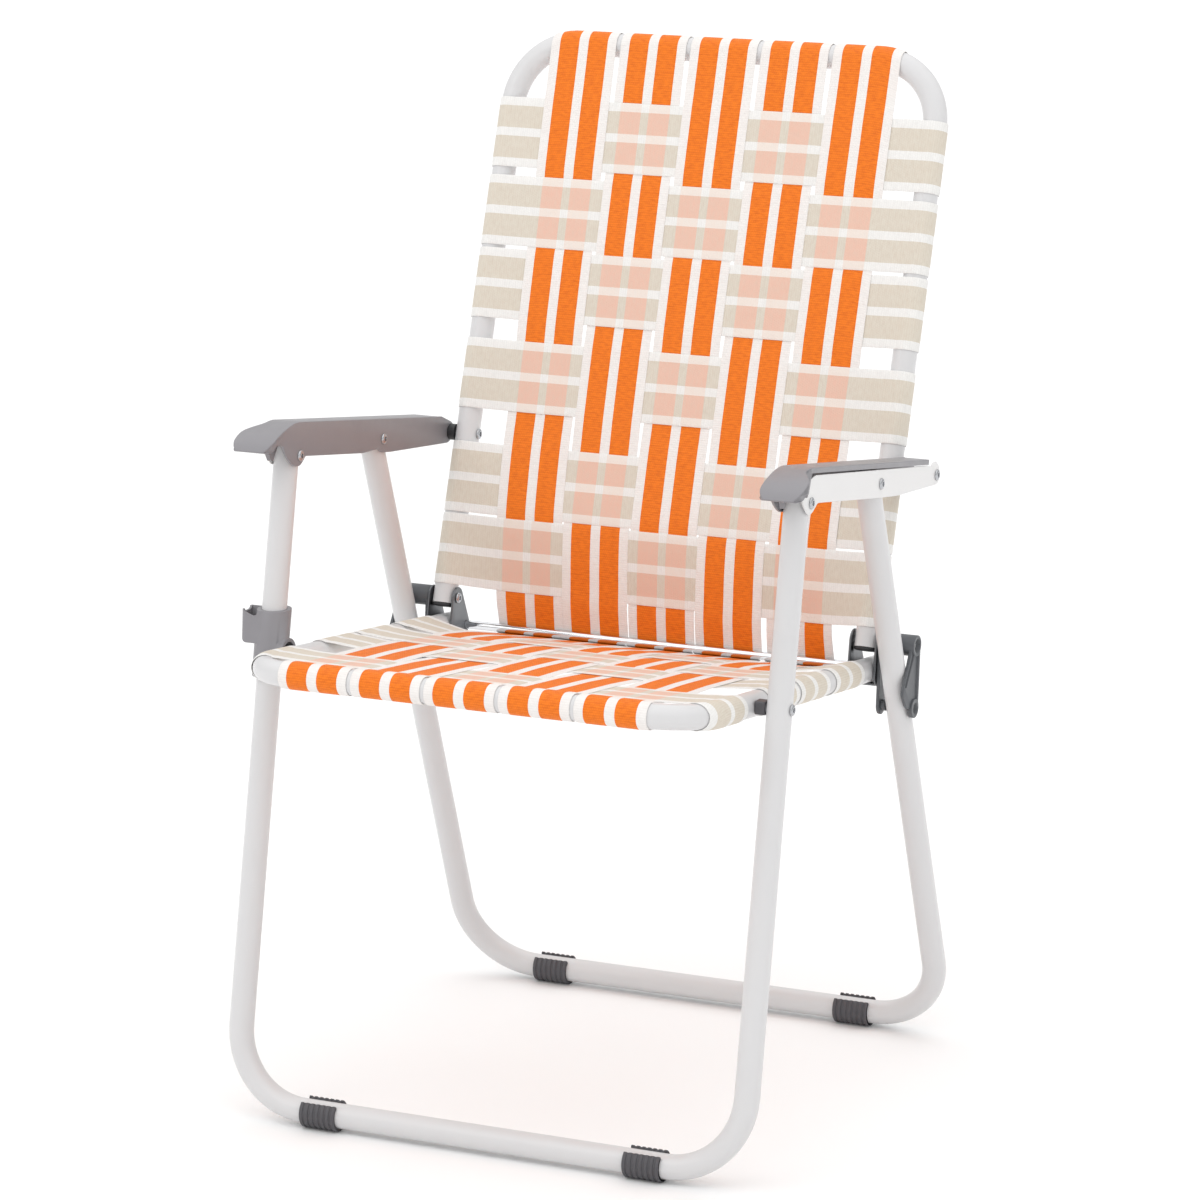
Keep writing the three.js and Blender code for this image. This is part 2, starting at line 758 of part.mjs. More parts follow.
// How far a U frame's bar draws back at a place across it, and how steeply
function cornerDraw(x, cornerRadius) {
  const run = Math.max(0, Math.abs(x) - (seatHalfWidth - cornerRadius));
  const draw = cornerRadius - Math.sqrt(cornerRadius ** 2 - run ** 2);
  return { draw, stretch: cornerRadius / Math.sqrt(cornerRadius ** 2 - run ** 2) };
}

// Where the lines of a web fall across the chair, with more over the bent ends of its bar
const barBendShares = [0, 0.55];
const sideBendShares = [0, 0.4, 0.75];

function webLines(cornerRadius) {
  const start = seatHalfWidth - cornerRadius;
  const end = upCentres.at(-1) + strapHalf;
  const extra = barBendShares.map((share) => start + (end - start) * share);
  return [...edgeX, ...extra, ...extra.map((x) => -x)].sort((a, b) => a - b);
}

// One web: how its surface lies, where the cross straps run and how the up straps end
class Web {
  constructor({ lines, crossCentres, surface, barReach, cornerRadius, point, firstOver }) {
    Object.assign(this, { lines, crossCentres, surface, barReach, cornerRadius, point, firstOver });
    this.rises = crossCentres.flatMap((centre) => [centre - strapHalf, centre + strapHalf]);
  }

  // A point of the webbing at a place across, a reach along the frame and an offset of the weave
  at(x, reach, offset) {
    const share = this.lineShare(x);
    const height = this.surface(share, reach) + offset;
    return { point: this.point(x, reach, height), out: this.out() };
  }

  out() {
    return this.point(0, 0, 1).sub(this.point(0, 0, 0)).normalize();
  }

  // The sag's share at a place across, linear between the web's lines
  lineShare(x) {
    const sag = (value) => 1 - (value / seatHalfWidth) ** 2;
    const knots = [-seatHalfWidth, ...this.lines, seatHalfWidth];
    const next = Math.max(1, knots.findIndex((knot) => knot >= x));
    const low = knots[next - 1];
    const high = knots[next];
    return THREE.MathUtils.lerp(sag(low), sag(high), (x - low) / (high - low));
  }

  upStrap(index, tail) {
    const left = upCentres[index] - strapHalf;
    const right = upCentres[index] + strapHalf;
    const columns = this.lines.filter((x) => x >= left && x <= right);
    const rows = tail(columns);
    this.crossCentres.forEach((centre, crossing) => {
      const over = (index + crossing + this.firstOver) % 2 === 0 ? 1 : -1;
      for (const reach of [centre - strapHalf, centre + strapHalf]) {
        rows.push(columns.map((x) => this.at(x, reach, over * weaveOffset)));
      }
    });
    for (let step = 0; step <= wrapSteps; step += 1) {
      const angle = (frontWrapTurn * step) / wrapSteps;
      rows.push(columns.map((x) => {
        const { draw, stretch } = cornerDraw(x, this.cornerRadius);
        const reach = this.barReach - draw + wrapRadius * stretch * Math.sin(angle);
        const height = wrapRadius * Math.cos(angle);
        const middle = this.point(x, this.barReach - draw, 0);
        const point = this.point(x, reach, height);
        return { point, out: point.clone().sub(middle).normalize() };
      }));
    }
    return band(rows);
  }

  crossStrap(index) {
    const centre = this.crossCentres[index];
    const reaches = this.crossReaches(centre);
    const rows = [];
    const wrap = (way, step) => {
      const angle = (wrapTurn * step) / wrapSteps;
      return reaches.map((reach) => {
        const { side: drawn, stretch } = this.sideDraw(reach);
        const x = way * (seatHalfWidth - drawn + wrapRadius * stretch * Math.sin(angle));
        const point = this.point(x, reach, wrapRadius * Math.cos(angle));
        const middle = this.point(way * (seatHalfWidth - drawn), reach, 0);
        return { point, out: point.clone().sub(middle).normalize() };
      });
    };
    for (let step = wrapSteps; step >= 0; step -= 1) rows.push(wrap(-1, step));
    this.lines.forEach((x) => {
      const strap = upCentres.findIndex((middle) => Math.abs(x - middle) <= strapHalf + fit);
      const over = (strap + index + this.firstOver) % 2 === 0 ? -1 : 1;
      rows.push(reaches.map((reach) => this.at(x, reach, over * weaveOffset)));
    });
    for (let step = 0; step <= wrapSteps; step += 1) rows.push(wrap(1, step));
    return band(rows);
  }

  // A cross strap near the bar gets more lines where the side tube bends
  crossReaches(centre) {
    const low = centre - strapHalf;
    const high = centre + strapHalf;
    const bend = this.barReach - this.cornerRadius;
    if (high - bend < strapHalf / 2) return [low, high];
    const extra = sideBendShares.map((share) => bend + (high - bend) * share);
    return [low, ...extra, high];
  }

  sideDraw(reach) {
    const run = Math.max(0, reach - (this.barReach - this.cornerRadius));
    const across = Math.sqrt(this.cornerRadius ** 2 - run ** 2);
    return { side: this.cornerRadius - across, stretch: this.cornerRadius / across };
  }
}

// The back web sags behind its frame and runs down behind the crease rod
const middleSag = 10.5;
const lowSag = 26;
const footSag = 34;

const sagKnots = [
  [-strapHalf, footSag],
  [backCentres[0] - strapHalf, lowSag],
  [backCentres[0] + strapHalf, middleSag],
  [backRise, 0],
];

function sagAt(reach) {
  const next = Math.max(1, sagKnots.findIndex(([knot]) => knot >= reach));
  const [low, lowValue] = sagKnots[next - 1];
  const [high, highValue] = sagKnots[next];
  return THREE.MathUtils.lerp(lowValue, highValue, (reach - low) / (high - low));
}

const backWeb = new Web({
  lines: webLines(backCornerRadius),
  crossCentres: backCentres,
  cornerRadius: backCornerRadius,
  barReach: backRise,
  firstOver: 1,
  surface: (share, reach) => wrapRadius - share * sagAt(reach),
  point: (x, reach, height) => place(x, onBack(reach, height)),
});

// The rod in the frame of the back, and the straps' path behind it
const rodFromHinge = rodCentre.clone().sub(hingePivot);
const rodRise = rodFromHinge.dot(backUp);
const rodFront = rodFromHinge.dot(backFront);
const rodWrap = rodRadius + strapLift + strapThickness / 2;
const strapSplit = 2;

function backTailRows(columns) {
  const behind = columns.map((x) => ({
    point: place(x, onBack(rodRise + strapSplit, rodFront - rodWrap)),
    out: backWeb.out(),
  }));
  return [behind];
}

// The seat web lies nearly flat and passes under the crease rod
const seatSag = 4;
const turnSteps = 4;

const seatWeb = new Web({
  lines: webLines(seatCornerRadius),
  crossCentres: seatCentres,
  cornerRadius: seatCornerRadius,
  barReach: seatReach,
  firstOver: 0,
  surface: (share) => wrapRadius - share * seatSag,
  point: (x, reach, height) => place(x, onSeat(reach, height)),
});

function seatTailRows(columns) {
  const rows = [];
  for (let step = 0; step <= turnSteps; step += 1) {
    const angle = (Math.PI / 2) * (1 + step / turnSteps);
    rows.push(columns.map((x) => {
      const centre = place(x, onSeat(-rodWrap * Math.sin(angle), rodWrap * Math.cos(angle)));
      const middle = place(x, rodCentre);
      return { point: centre, out: middle.sub(centre).normalize() };
    }));
  }
  return rows;
}

upCentres.forEach((centre, index) => {
  add(`back_strap_up_${index + 1}`, backWeb.upStrap(index, backTailRows), 'orange');
  add(`seat_strap_up_${index + 1}`, seatWeb.upStrap(index, seatTailRows), 'orange');
});
backCentres.forEach((centre, index) => {
  add(`back_strap_across_${index + 1}`, backWeb.crossStrap(index), 'beige');
});
seatCentres.forEach((centre, index) => {
  add(`seat_strap_across_${index + 1}`, seatWeb.crossStrap(index), 'beige');
});

// The chair's origin is the middle of its footprint, on the floor
const bounds = new THREE.Box3().setFromObject(chair);
const middle = bounds.getCenter(new THREE.Vector3());
chair.position.set(-middle.x, -middle.y, -bounds.min.z);

export default chair;
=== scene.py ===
"""A folding lawn chair on white tubes, with a woven webbing seat and back.

Lengths are in millimetres until a point is placed, and then in metres.
Side views are drawn in (Y, Z) with the front leg's bottom bar at Y = 0.
"""
import json
import math

import bmesh
import bpy
from mathutils import Matrix, Vector

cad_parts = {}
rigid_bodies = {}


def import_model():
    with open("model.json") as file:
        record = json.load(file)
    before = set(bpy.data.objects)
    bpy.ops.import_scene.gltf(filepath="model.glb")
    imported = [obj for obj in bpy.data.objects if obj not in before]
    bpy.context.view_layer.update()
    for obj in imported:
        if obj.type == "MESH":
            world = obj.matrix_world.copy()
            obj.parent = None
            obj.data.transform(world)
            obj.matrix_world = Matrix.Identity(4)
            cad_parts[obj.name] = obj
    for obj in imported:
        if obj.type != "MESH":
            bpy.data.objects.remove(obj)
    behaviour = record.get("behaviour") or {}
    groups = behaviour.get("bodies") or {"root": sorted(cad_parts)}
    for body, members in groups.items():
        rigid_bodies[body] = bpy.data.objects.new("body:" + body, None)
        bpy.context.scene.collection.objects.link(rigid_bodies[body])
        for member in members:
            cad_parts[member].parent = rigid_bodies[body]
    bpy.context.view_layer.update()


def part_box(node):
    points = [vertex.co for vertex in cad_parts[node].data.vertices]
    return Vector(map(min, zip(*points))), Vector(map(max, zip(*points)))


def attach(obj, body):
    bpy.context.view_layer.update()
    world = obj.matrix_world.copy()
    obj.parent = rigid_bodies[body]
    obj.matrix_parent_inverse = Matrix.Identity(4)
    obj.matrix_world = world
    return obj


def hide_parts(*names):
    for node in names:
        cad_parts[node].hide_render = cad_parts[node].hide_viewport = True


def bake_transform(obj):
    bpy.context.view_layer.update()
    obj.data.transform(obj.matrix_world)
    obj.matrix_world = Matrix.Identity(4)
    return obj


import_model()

MM = 0.001
FULL_TURN = 2 * math.pi
BOTH_WAYS = (-1, 1)
SIDES = (("left", -1), ("right", 1))

# Sizes of the frame, as in the part's source
TUBE_RADIUS = 11
SEAT_HALF_WIDTH = 209.6
LEG_GAP = 10
FIT = 0.3
FOOT_LIFT = 3
SHEET = 2
BACK_LEAN = math.radians(18.63)
BACK_RISE = 524
BACK_TAIL = 6
BACK_CORNER = 60
ARM_PIVOT_RISE = 153.2
FOOT_SPREAD = 471.8
LEG_CORNER = 68
FRONT_LEAN = math.radians(11.165)
FRONT_PIVOT_REACH = 569.7
FRONT_OVERRUN = 12
SEAT_PIVOT_REACH = 396
HINGE_TO_LEG = 23
MIDDLE_PIVOT_RISE = 3.1
REAR_OVERRUN = 9
LINK_PIVOT_REACH = 350
HINGE = (353.4, 398)
ROD_BEHIND = 16.43
ROD_BELOW = 28.56
ROD_RADIUS = 4
SEAT_END = 5
SEAT_DROP = 1
SEAT_REACH = 401.3
SEAT_CORNER = 50


def side(y, z):
    return Vector((y, z))


def along(start, step, reach):
    return start + step * reach


# Pivots in the side view
bar_height = TUBE_RADIUS + FOOT_LIFT
front_foot = side(0, bar_height)
rear_foot = side(FOOT_SPREAD, bar_height)
front_up = side(math.sin(FRONT_LEAN), math.cos(FRONT_LEAN))
back_up = side(math.sin(BACK_LEAN), math.cos(BACK_LEAN))
back_front = side(-back_up.y, back_up.x)
hinge_pivot = side(*HINGE)
front_pivot = along(front_foot, front_up, FRONT_PIVOT_REACH)
seat_pivot = along(front_foot, front_up, SEAT_PIVOT_REACH)
rear_pivot = along(hinge_pivot, back_up, ARM_PIVOT_RISE)
to_hinge = hinge_pivot - rear_foot
rear_lean = math.atan2(to_hinge.x, to_hinge.y) - math.asin(HINGE_TO_LEG / to_hinge.length)
rear_up = side(math.sin(rear_lean), math.cos(rear_lean))
arm_back = (rear_pivot - front_pivot).normalized()
arm_up = side(-arm_back.y, arm_back.x)
arm_line = MIDDLE_PIVOT_RISE + (front_pivot - rear_foot).dot(arm_up)
middle_pivot = along(rear_foot, rear_up, arm_line / rear_up.dot(arm_up))
link_pivot = along(rear_foot, rear_up, LINK_PIVOT_REACH)
rod_centre = side(hinge_pivot.x + ROD_BEHIND, hinge_pivot.y - ROD_BELOW)
to_seat_pivot = seat_pivot - rod_centre
seat_tilt = math.atan2(to_seat_pivot.y, -to_seat_pivot.x) - math.asin(SEAT_DROP / to_seat_pivot.length)
seat_front = side(-math.cos(seat_tilt), math.sin(seat_tilt))
seat_up = side(seat_front.y, -seat_front.x)


def on_seat(reach, rise):
    return rod_centre + seat_front * reach + seat_up * rise


def on_back(rise, front):
    return hinge_pivot + back_up * rise + back_front * front


def on_arm(pivot, forward, rise):
    return pivot - arm_back * forward + arm_up * rise


# Layers across the chair
LEG_HALF_WIDTH = SEAT_HALF_WIDTH + 2 * TUBE_RADIUS + LEG_GAP
tube_inner = SEAT_HALF_WIDTH - TUBE_RADIUS
tube_outer = SEAT_HALF_WIDTH + TUBE_RADIUS
leg_inner = LEG_HALF_WIDTH - TUBE_RADIUS
leg_outer = LEG_HALF_WIDTH + TUBE_RADIUS

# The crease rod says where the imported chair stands
rod_low, rod_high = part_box("crease_rod")
origin = Vector((
    (rod_low.x + rod_high.x) / 2,
    (rod_low.y + rod_high.y) / 2 - rod_centre.x * MM,
    (rod_low.z + rod_high.z) / 2 - rod_centre.y * MM,
))


def at(x, point):
    """A place across the chair and in the side view, in metres."""
    return origin + Vector((x, point.x, point.y)) * MM


# The camera stands where the photograph was taken
CAMERA_TARGET = (-4.21, 250, 436.11)
CAMERA_DISTANCE = 4325.7
CAMERA_TURN = math.radians(24.85)
CAMERA_RISE = math.radians(12.94)
CAMERA_LENS = 146.43

camera_data = bpy.data.cameras.new("camera")
camera = bpy.data.objects.new("camera", camera_data)
bpy.context.scene.collection.objects.link(camera)
bpy.context.scene.camera = camera
camera_data.lens = CAMERA_LENS
camera_data.sensor_width = 36
camera_data.sensor_fit = "HORIZONTAL"
camera_data.clip_end = 50
view_back = Vector((
    math.sin(CAMERA_TURN) * math.cos(CAMERA_RISE),
    -math.cos(CAMERA_TURN) * math.cos(CAMERA_RISE),
    math.sin(CAMERA_RISE),
))
target = at(CAMERA_TARGET[0], side(*CAMERA_TARGET[1:]))
camera.location = target + view_back * CAMERA_DISTANCE * MM
camera.rotation_euler = (-view_back).to_track_quat("-Z", "Y").to_euler()


# Materials
class Wire:
    """A number or colour in a node tree, which adds Math nodes as it is worked with."""

    def __init__(self, board, socket):
        self.board = board
        self.socket = socket

    def math(self, operation, *others):
        return self.board.math(operation, self, *others)

    def part(self, axis):
        return self.board.node("ShaderNodeSeparateXYZ", {}, {"Vector": self}, axis)

    def __add__(self, other):
        return self.math("ADD", other)

    def __sub__(self, other):
        return self.math("SUBTRACT", other)

    def __rsub__(self, other):
        return self.board.math("SUBTRACT", other, self)

    def __mul__(self, other):
        return self.math("MULTIPLY", other)

    def __truediv__(self, other):
        return self.math("DIVIDE", other)

    def __rtruediv__(self, other):
        return self.board.math("DIVIDE", other, self)

    def __gt__(self, other):
        return self.math("GREATER_THAN", other)

    def __lt__(self, other):
        return self.math("LESS_THAN", other)

    __radd__ = __add__
    __rmul__ = __mul__


# Where a Mix node of colours keeps its share, its two colours and its result
MIX_SHARE, MIX_FIRST, MIX_SECOND, MIX_RESULT = 0, 6, 7, 2


class Board:
    """The shader nodes of a material or a world."""

    def __init__(self, tree):
        self.nodes = tree.nodes
        self.links = tree.links

    def feed(self, socket, value):
        if isinstance(value, Wire):
            self.links.new(value.socket, socket)
        elif socket.type == "RGBA":
            socket.default_value = (*value, 1)
        else:
            socket.default_value = value

    def node(self, kind, settings, values, output=0):
        """Any node: its settings first, and then its sockets, by name or by place."""
        made = self.nodes.new(kind)
        for name, value in settings.items():
            setattr(made, name, value)
        for name, value in values.items():
            self.feed(made.inputs[name], value)
        return Wire(self, made.outputs[output])

    def math(self, operation, *values):
        return self.node("ShaderNodeMath", {"operation": operation}, dict(enumerate(values)))

    def mix(self, share, first, second):
        values = {MIX_SHARE: share, MIX_FIRST: first, MIX_SECOND: second}
        return self.node("ShaderNodeMix", {"data_type": "RGBA"}, values, MIX_RESULT)

    def object_place(self):
        return self.node("ShaderNodeTexCoord", {}, {}, "Object")

    def noise(self, scale, detail=2.0, roughness=0.5, vector=None):
        place = self.object_place() if vector is None else vector
        values = {"Vector": place, "Scale": scale, "Detail": detail, "Roughness": roughness}
        return self.node("ShaderNodeTexNoise", {}, values, "Fac")


class Finish(Board):
    """A material with one Principled shader, built node by node."""

    def __init__(self, name, colour, roughness, metallic=0.0, coat=0.0):
        self.material = bpy.data.materials.new(name)
        self.material.use_nodes = True
        self.material.diffuse_color = (*colour, 1)
        super().__init__(self.material.node_tree)
        self.shader = self.nodes["Principled BSDF"]
        self.set("Base Color", colour)
        self.set("Roughness", roughness)
        self.set("Metallic", metallic)
        self.set("Coat Weight", coat)

    def set(self, name, value):
        self.feed(self.shader.inputs[name], value)

    def bump(self, height, strength, distance):
        values = {"Height": height, "Strength": strength, "Distance": distance}
        self.set("Normal", self.node("ShaderNodeBump", {}, values))


def darkened(colour, share):
    return tuple(part * share for part in colour)


def white_paint(name, colour, darker):
    """Smooth white powder coat with a faint orange peel."""
    finish = Finish(name, colour, 0.32, coat=0.25)
    finish.set("Coat Roughness", 0.12)
    patch = finish.noise(18, 3, 0.6)
    finish.set("Base Color", finish.mix(patch * 0.5, colour, darker))
    finish.set("Roughness", 0.26 + finish.noise(60, 2) * 0.14)
    finish.bump(finish.noise(900, 2), 0.06, 0.0002)
    return finish.material


def moulded_plastic(name, colour, darker, grain, roughness):
    """Moulded plastic: a fine leather-like grain and slightly uneven colour."""
    finish = Finish(name, colour, roughness)
    patch = finish.noise(14, 4, 0.6)
    finish.set("Base Color", finish.mix(patch, colour, darker))
    finish.set("Roughness", (roughness - 0.08) + finish.noise(90, 3) * 0.18)
    finish.bump(finish.noise(grain, 3, 0.55), 0.12, 0.0003)
    return finish.material


def plated_steel(name, colour, roughness, streak):
    """Bright plated steel with faint drawing marks."""
    finish = Finish(name, colour, roughness, metallic=1.0)
    place = finish.node("ShaderNodeMapping", {}, {"Vector": finish.object_place(), "Scale": streak})
    marks = finish.noise(140, 3, 0.6, place)
    finish.set("Roughness", (roughness - 0.04) + marks * 0.12)
    patch = finish.noise(40, 2)
    finish.set("Base Color", finish.mix(patch * 0.5, colour, darkened(colour, 0.8)))
    finish.bump(marks, 0.05, 0.0001)
    return finish.material


# Webbing: two coloured stripes on white, woven from flat yarns
STRAP_WIDTH = 65.5
PITCH = 69.3
WEFT_PITCH = 2.1
WARP_COUNT = 30
YARN_FLOOR = 0.45
YARN_RISE = 0.55
WORN_ALONG = 0.9
WORN_ACROSS = 11
WEB_HALF_PITCHES = 2.5


def webbing(name, white, stripe, yarn_shade_and_streaks, stripe_share, middle_share, weft_length, painted_see_through=None):
    """Stripes run along the strap; weft_length is one weft in the UV map's length unit."""
    finish = Finish(name, stripe, 0.5)
    uv = finish.node("ShaderNodeUVMap", {"uv_map": "strap"}, {})
    length, breadth = uv.part("X"), uv.part("Y")

    # Each yarn crossing is a small pillow, and every other row of them is shifted by half a yarn
    row = length / weft_length
    shift = (row.math("FLOOR") / 2).math("FRACT")
    column = (breadth * WARP_COUNT + shift).math("FRACT")
    rib = (row.math("FRACT") * math.pi).math("SINE")
    pillow = (column * math.pi).math("SINE")
    height = rib * (YARN_FLOOR + YARN_RISE * pillow)
    fleck = finish.noise(2600, 2, 0.6)
    blotch = finish.noise(45, 3, 0.6)
    yarn = finish.node("ShaderNodeCombineXYZ", {}, {"X": row * WORN_ALONG, "Y": breadth * WORN_ACROSS})
    worn = finish.noise(1.0, 1, 0.4, yarn)

    # White in the middle and at the edges, and a stripe on each side of the middle
    from_middle = (breadth - 0.5).math("ABSOLUTE")
    start, end = middle_share / 2, middle_share / 2 + stripe_share
    in_stripe = (from_middle > start) * (from_middle < end)
    # Painted shade between the yarns, and worn streaks, darken the white ground
    ground = finish.mix(height * 0.4 + worn * 0.9, darkened(white, 0.86), white)
    # Painted shade between the yarns, and streaks where it is worn, make a stripe darker
    dark = tuple(part * share for part, share in zip(stripe, (0.72, 0.58, 0.5)))
    colour = finish.mix(1 - yarn_shade_and_streaks * (1.35 - height * 0.55 - worn * 1.5), dark, stripe)
    surface = finish.mix(in_stripe, ground, colour)
    if painted_see_through:
        # Painted see-through light: where an upright strap lies behind, its stripes are painted in as if
        # shown through the open weave
        painted_through_white, painted_through_stripe, pitch_share = painted_see_through
        strap = ((length + 0.5).math("FRACT") - 0.5).math("ABSOLUTE") * pitch_share
        behind = (strap > start) * (strap < end) * (length.math("ABSOLUTE") < WEB_HALF_PITCHES)
        through = behind * (0.62 + 0.4 * worn + 0.16 * fleck)
        surface = finish.mix(through, surface, finish.mix(in_stripe, painted_through_white, painted_through_stripe))
    # A little of the stripe's colour clouds the whole strap
    finish.set("Base Color", finish.mix(blotch * 0.10, surface, darkened(stripe, 0.8)))
    finish.set("Roughness", 0.66 - height * 0.12)
    finish.set("Specular IOR Level", 0.3)
    finish.bump(height + fleck * 0.2, 0.4, 0.0004)
    return finish.material


WHITE_YARN = (0.86, 0.85, 0.83)
ORANGE_YARN = (0.875, 0.2, 0.008)
BEIGE_YARN = (0.685, 0.63, 0.54)
# Painted see-through light: the orange upright straps behind the beige ones, painted in as pink tints
PAINTED_ORANGE_SEE_THROUGH = ((0.82, 0.72, 0.65), (0.78, 0.49, 0.385), PITCH / STRAP_WIDTH)

materials = {
    "white_paint": white_paint("white paint", (0.74, 0.73, 0.725), (0.69, 0.68, 0.675)),
    "tube_paint": white_paint("tube paint", (0.655, 0.650, 0.655), (0.605, 0.60, 0.605)),
    "bright_steel": plated_steel("bright steel", (0.50, 0.51, 0.53), 0.24, (1, 0.2, 0.2)),
    # Painted shade: a darkened copy of the bright steel for the hinge brackets, which stand in shadow
    "shaded_ear_steel": plated_steel("ear steel", (0.17, 0.175, 0.185), 0.34, (1, 0.2, 0.2)),
    "chrome": plated_steel("chrome", (0.78, 0.79, 0.81), 0.08, (0.05, 1, 1)),
    "orange_webbing": webbing(
        "orange webbing", WHITE_YARN, ORANGE_YARN, 0.9, 0.295, 0.144, WEFT_PITCH * MM,
    ),
    "beige_webbing": webbing(
        "beige webbing", WHITE_YARN, BEIGE_YARN, 0.28, 0.315, 0.12, WEFT_PITCH / PITCH, PAINTED_ORANGE_SEE_THROUGH,
    ),
}
for kind, colour, darker, grain, roughness in (
    ("grey", (0.26, 0.252, 0.268), (0.225, 0.218, 0.232), 1500, 0.36),
    ("dark", (0.030, 0.031, 0.034), (0.020, 0.021, 0.024), 1200, 0.5),
    # link: the grey plastic darkened, painted shade for the hinge links in shadow
    ("link", (0.095, 0.100, 0.110), (0.075, 0.080, 0.088), 1400, 0.38),
    ("foot", (0.080, 0.077, 0.085), (0.064, 0.062, 0.069), 1200, 0.48),
):
    materials[f"{kind}_plastic"] = moulded_plastic(f"{kind} plastic", colour, darker, grain, roughness)


# Making and finishing pieces
def piece(name, mesh, body, slot, finish=None, *, replaced):
    """One visible piece on its body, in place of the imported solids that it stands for."""
    made = bpy.data.objects.new(name, mesh)
    bpy.context.scene.collection.objects.link(made)
    mesh.materials.clear()
    mesh.materials.append(materials[finish or slot])
    if body:
        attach(made, body)
    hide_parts(*replaced)
    return made


# Edges that turn more than this, in degrees, stay sharp
MOULDED_ANGLE = 30
BLOCK_ANGLE = 32
TUBE_ANGLE = 40
HEAD_ANGLE = 45
STRAP_ANGLE = 60


def smooth(mesh, angle):
    mesh.polygons.foreach_set("use_smooth", [True] * len(mesh.polygons))
    mesh.set_sharp_from_angle(angle=math.radians(angle))
    mesh.update()
    return mesh


def to_mesh(bm, name, angle):
    bmesh.ops.recalc_face_normals(bm, faces=bm.faces)
    mesh = bpy.data.meshes.new(name)
    bm.to_mesh(mesh)
    bm.free()
    return smooth(mesh, angle)


def evaluated(made, name):
    """The object's mesh with its modifiers applied; the object goes."""
    graph = bpy.context.evaluated_depsgraph_get()
    graph.update()
    mesh = bpy.data.meshes.new_from_object(made.evaluated_get(graph), depsgraph=graph)
    mesh.name = name
    bpy.data.objects.remove(made)
    return mesh


def scratch(mesh):
    made = bpy.data.objects.new("work", mesh)
    bpy.context.scene.collection.objects.link(made)
    return made


def bevelled(mesh, width, segments, angle=MOULDED_ANGLE):
    made = scratch(mesh)
    rounding = made.modifiers.new("rounding", "BEVEL")
    rounding.width = width * MM
    rounding.segments = segments
    rounding.limit_method = "ANGLE"
    rounding.angle_limit = math.radians(angle)
    rounding.harden_normals = True
    rounding.use_clamp_overlap = True
    return evaluated(made, mesh.name)


# How far the longer cutting tools run past a piece, and how near to each other doubles lie
CUT_RUN = 10
MERGE_REACH = 0.002


def combined(mesh, tools, operation="DIFFERENCE"):
    """Cuts or joins with each tool in turn, and merges the near doubles that a step leaves."""
    for tool in tools:
        made, worker = scratch(mesh), scratch(tool)
        step = made.modifiers.new("step", "BOOLEAN")
        step.operation = operation
        step.solver = "EXACT"
        step.object = worker
        mesh = evaluated(made, mesh.name)
        bpy.data.objects.remove(worker)
        bm = bmesh.new()
        bm.from_mesh(mesh)
        bmesh.ops.remove_doubles(bm, verts=bm.verts, dist=MERGE_REACH * MM)
        bmesh.ops.dissolve_degenerate(bm, edges=bm.edges, dist=MERGE_REACH * MM)
        bm.to_mesh(mesh)
        bm.free()
    return mesh


def skinned(name, rings, angle=BLOCK_ANGLE):
    """A closed mesh over rings of places. A ring of one place is a pole; an end ring is capped."""
    bm = bmesh.new()
    rings = [[bm.verts.new(place) for place in ring] for ring in rings]
    steps = max(len(ring) for ring in rings)
    for low, high in zip(rings, rings[1:]):
        for place in range(steps):
            nxt = (place + 1) % steps
            corners = (
                low[place % len(low)], low[nxt % len(low)],
                high[nxt % len(high)], high[place % len(high)],
            )
            bm.faces.new(list(dict.fromkeys(corners)))
    if len(rings[0]) > 1:
        bm.faces.new(list(reversed(rings[0])))
    if len(rings[-1]) > 1:
        bm.faces.new(rings[-1])
    return to_mesh(bm, name, angle)


def across(name, outline, start, end):
    """A side-view outline extruded across the chair."""
    return skinned(name, [[at(x, point) for point in outline] for x in (start, end)])


def circle(centre, radius, steps, start=0.0, turn=FULL_TURN):
    """Points of a circle or, if turn is less than full, of an arc with both its ends."""
    count = steps if turn == FULL_TURN else steps + 1
    angles = [start + turn * step / steps for step in range(count)]
    return [centre + side(math.cos(angle), math.sin(angle)) * radius for angle in angles]


BAND_SIDES = 72
STRAIGHT = 1e-7


def wrapped(circles):
    """The outline of circles wrapped by one band."""
    points = [point for centre, radius in circles for point in circle(centre, radius, BAND_SIDES)]
    points = sorted(points, key=lambda point: (point.x, point.y))

    def turn(a, b, c):
        return (b.x - a.x) * (c.y - a.y) - (b.y - a.y) * (c.x - a.x)

    def half(row):
        chain = []
        for point in row:
            while len(chain) > 1 and turn(chain[-2], chain[-1], point) <= STRAIGHT:
                chain.pop()
            chain.append(point)
        return chain[:-1]

    return half(points) + half(list(reversed(points)))


ROUND_SIDES = 40
DRUM_SIDES = 48


def lathe(name, centre, profile, steps=ROUND_SIDES):
    """A profile of (x, radius) turned about a line across the chair."""
    return skinned(name, [
        [at(x, point) for point in circle(centre, radius, steps)] if radius else [at(x, centre)]
        for x, radius in profile
    ])


def drum(name, centre, radius, start, end, steps=DRUM_SIDES):
    """A solid cylinder across the chair."""
    return lathe(name, centre, [(start, 0), (start, radius), (end, radius), (end, 0)], steps)


CORNER_SHARE = 0.45


def rounded(points, radius, steps=5, sharp=()):
    """An outline whose corners are rounded; the places in sharp keep theirs."""
    result = []
    count = len(points)
    for place, corner in enumerate(points):
        before = points[place - 1] - corner
        after = points[(place + 1) % count] - corner
        if place in sharp:
            result.append(corner)
            continue
        reach = min(radius, before.length * CORNER_SHARE, after.length * CORNER_SHARE)
        start = corner + before.normalized() * reach
        end = corner + after.normalized() * reach
        for step in range(steps + 1):
            share = step / steps
            result.append(start.lerp(corner, share).lerp(corner.lerp(end, share), share))
    return result


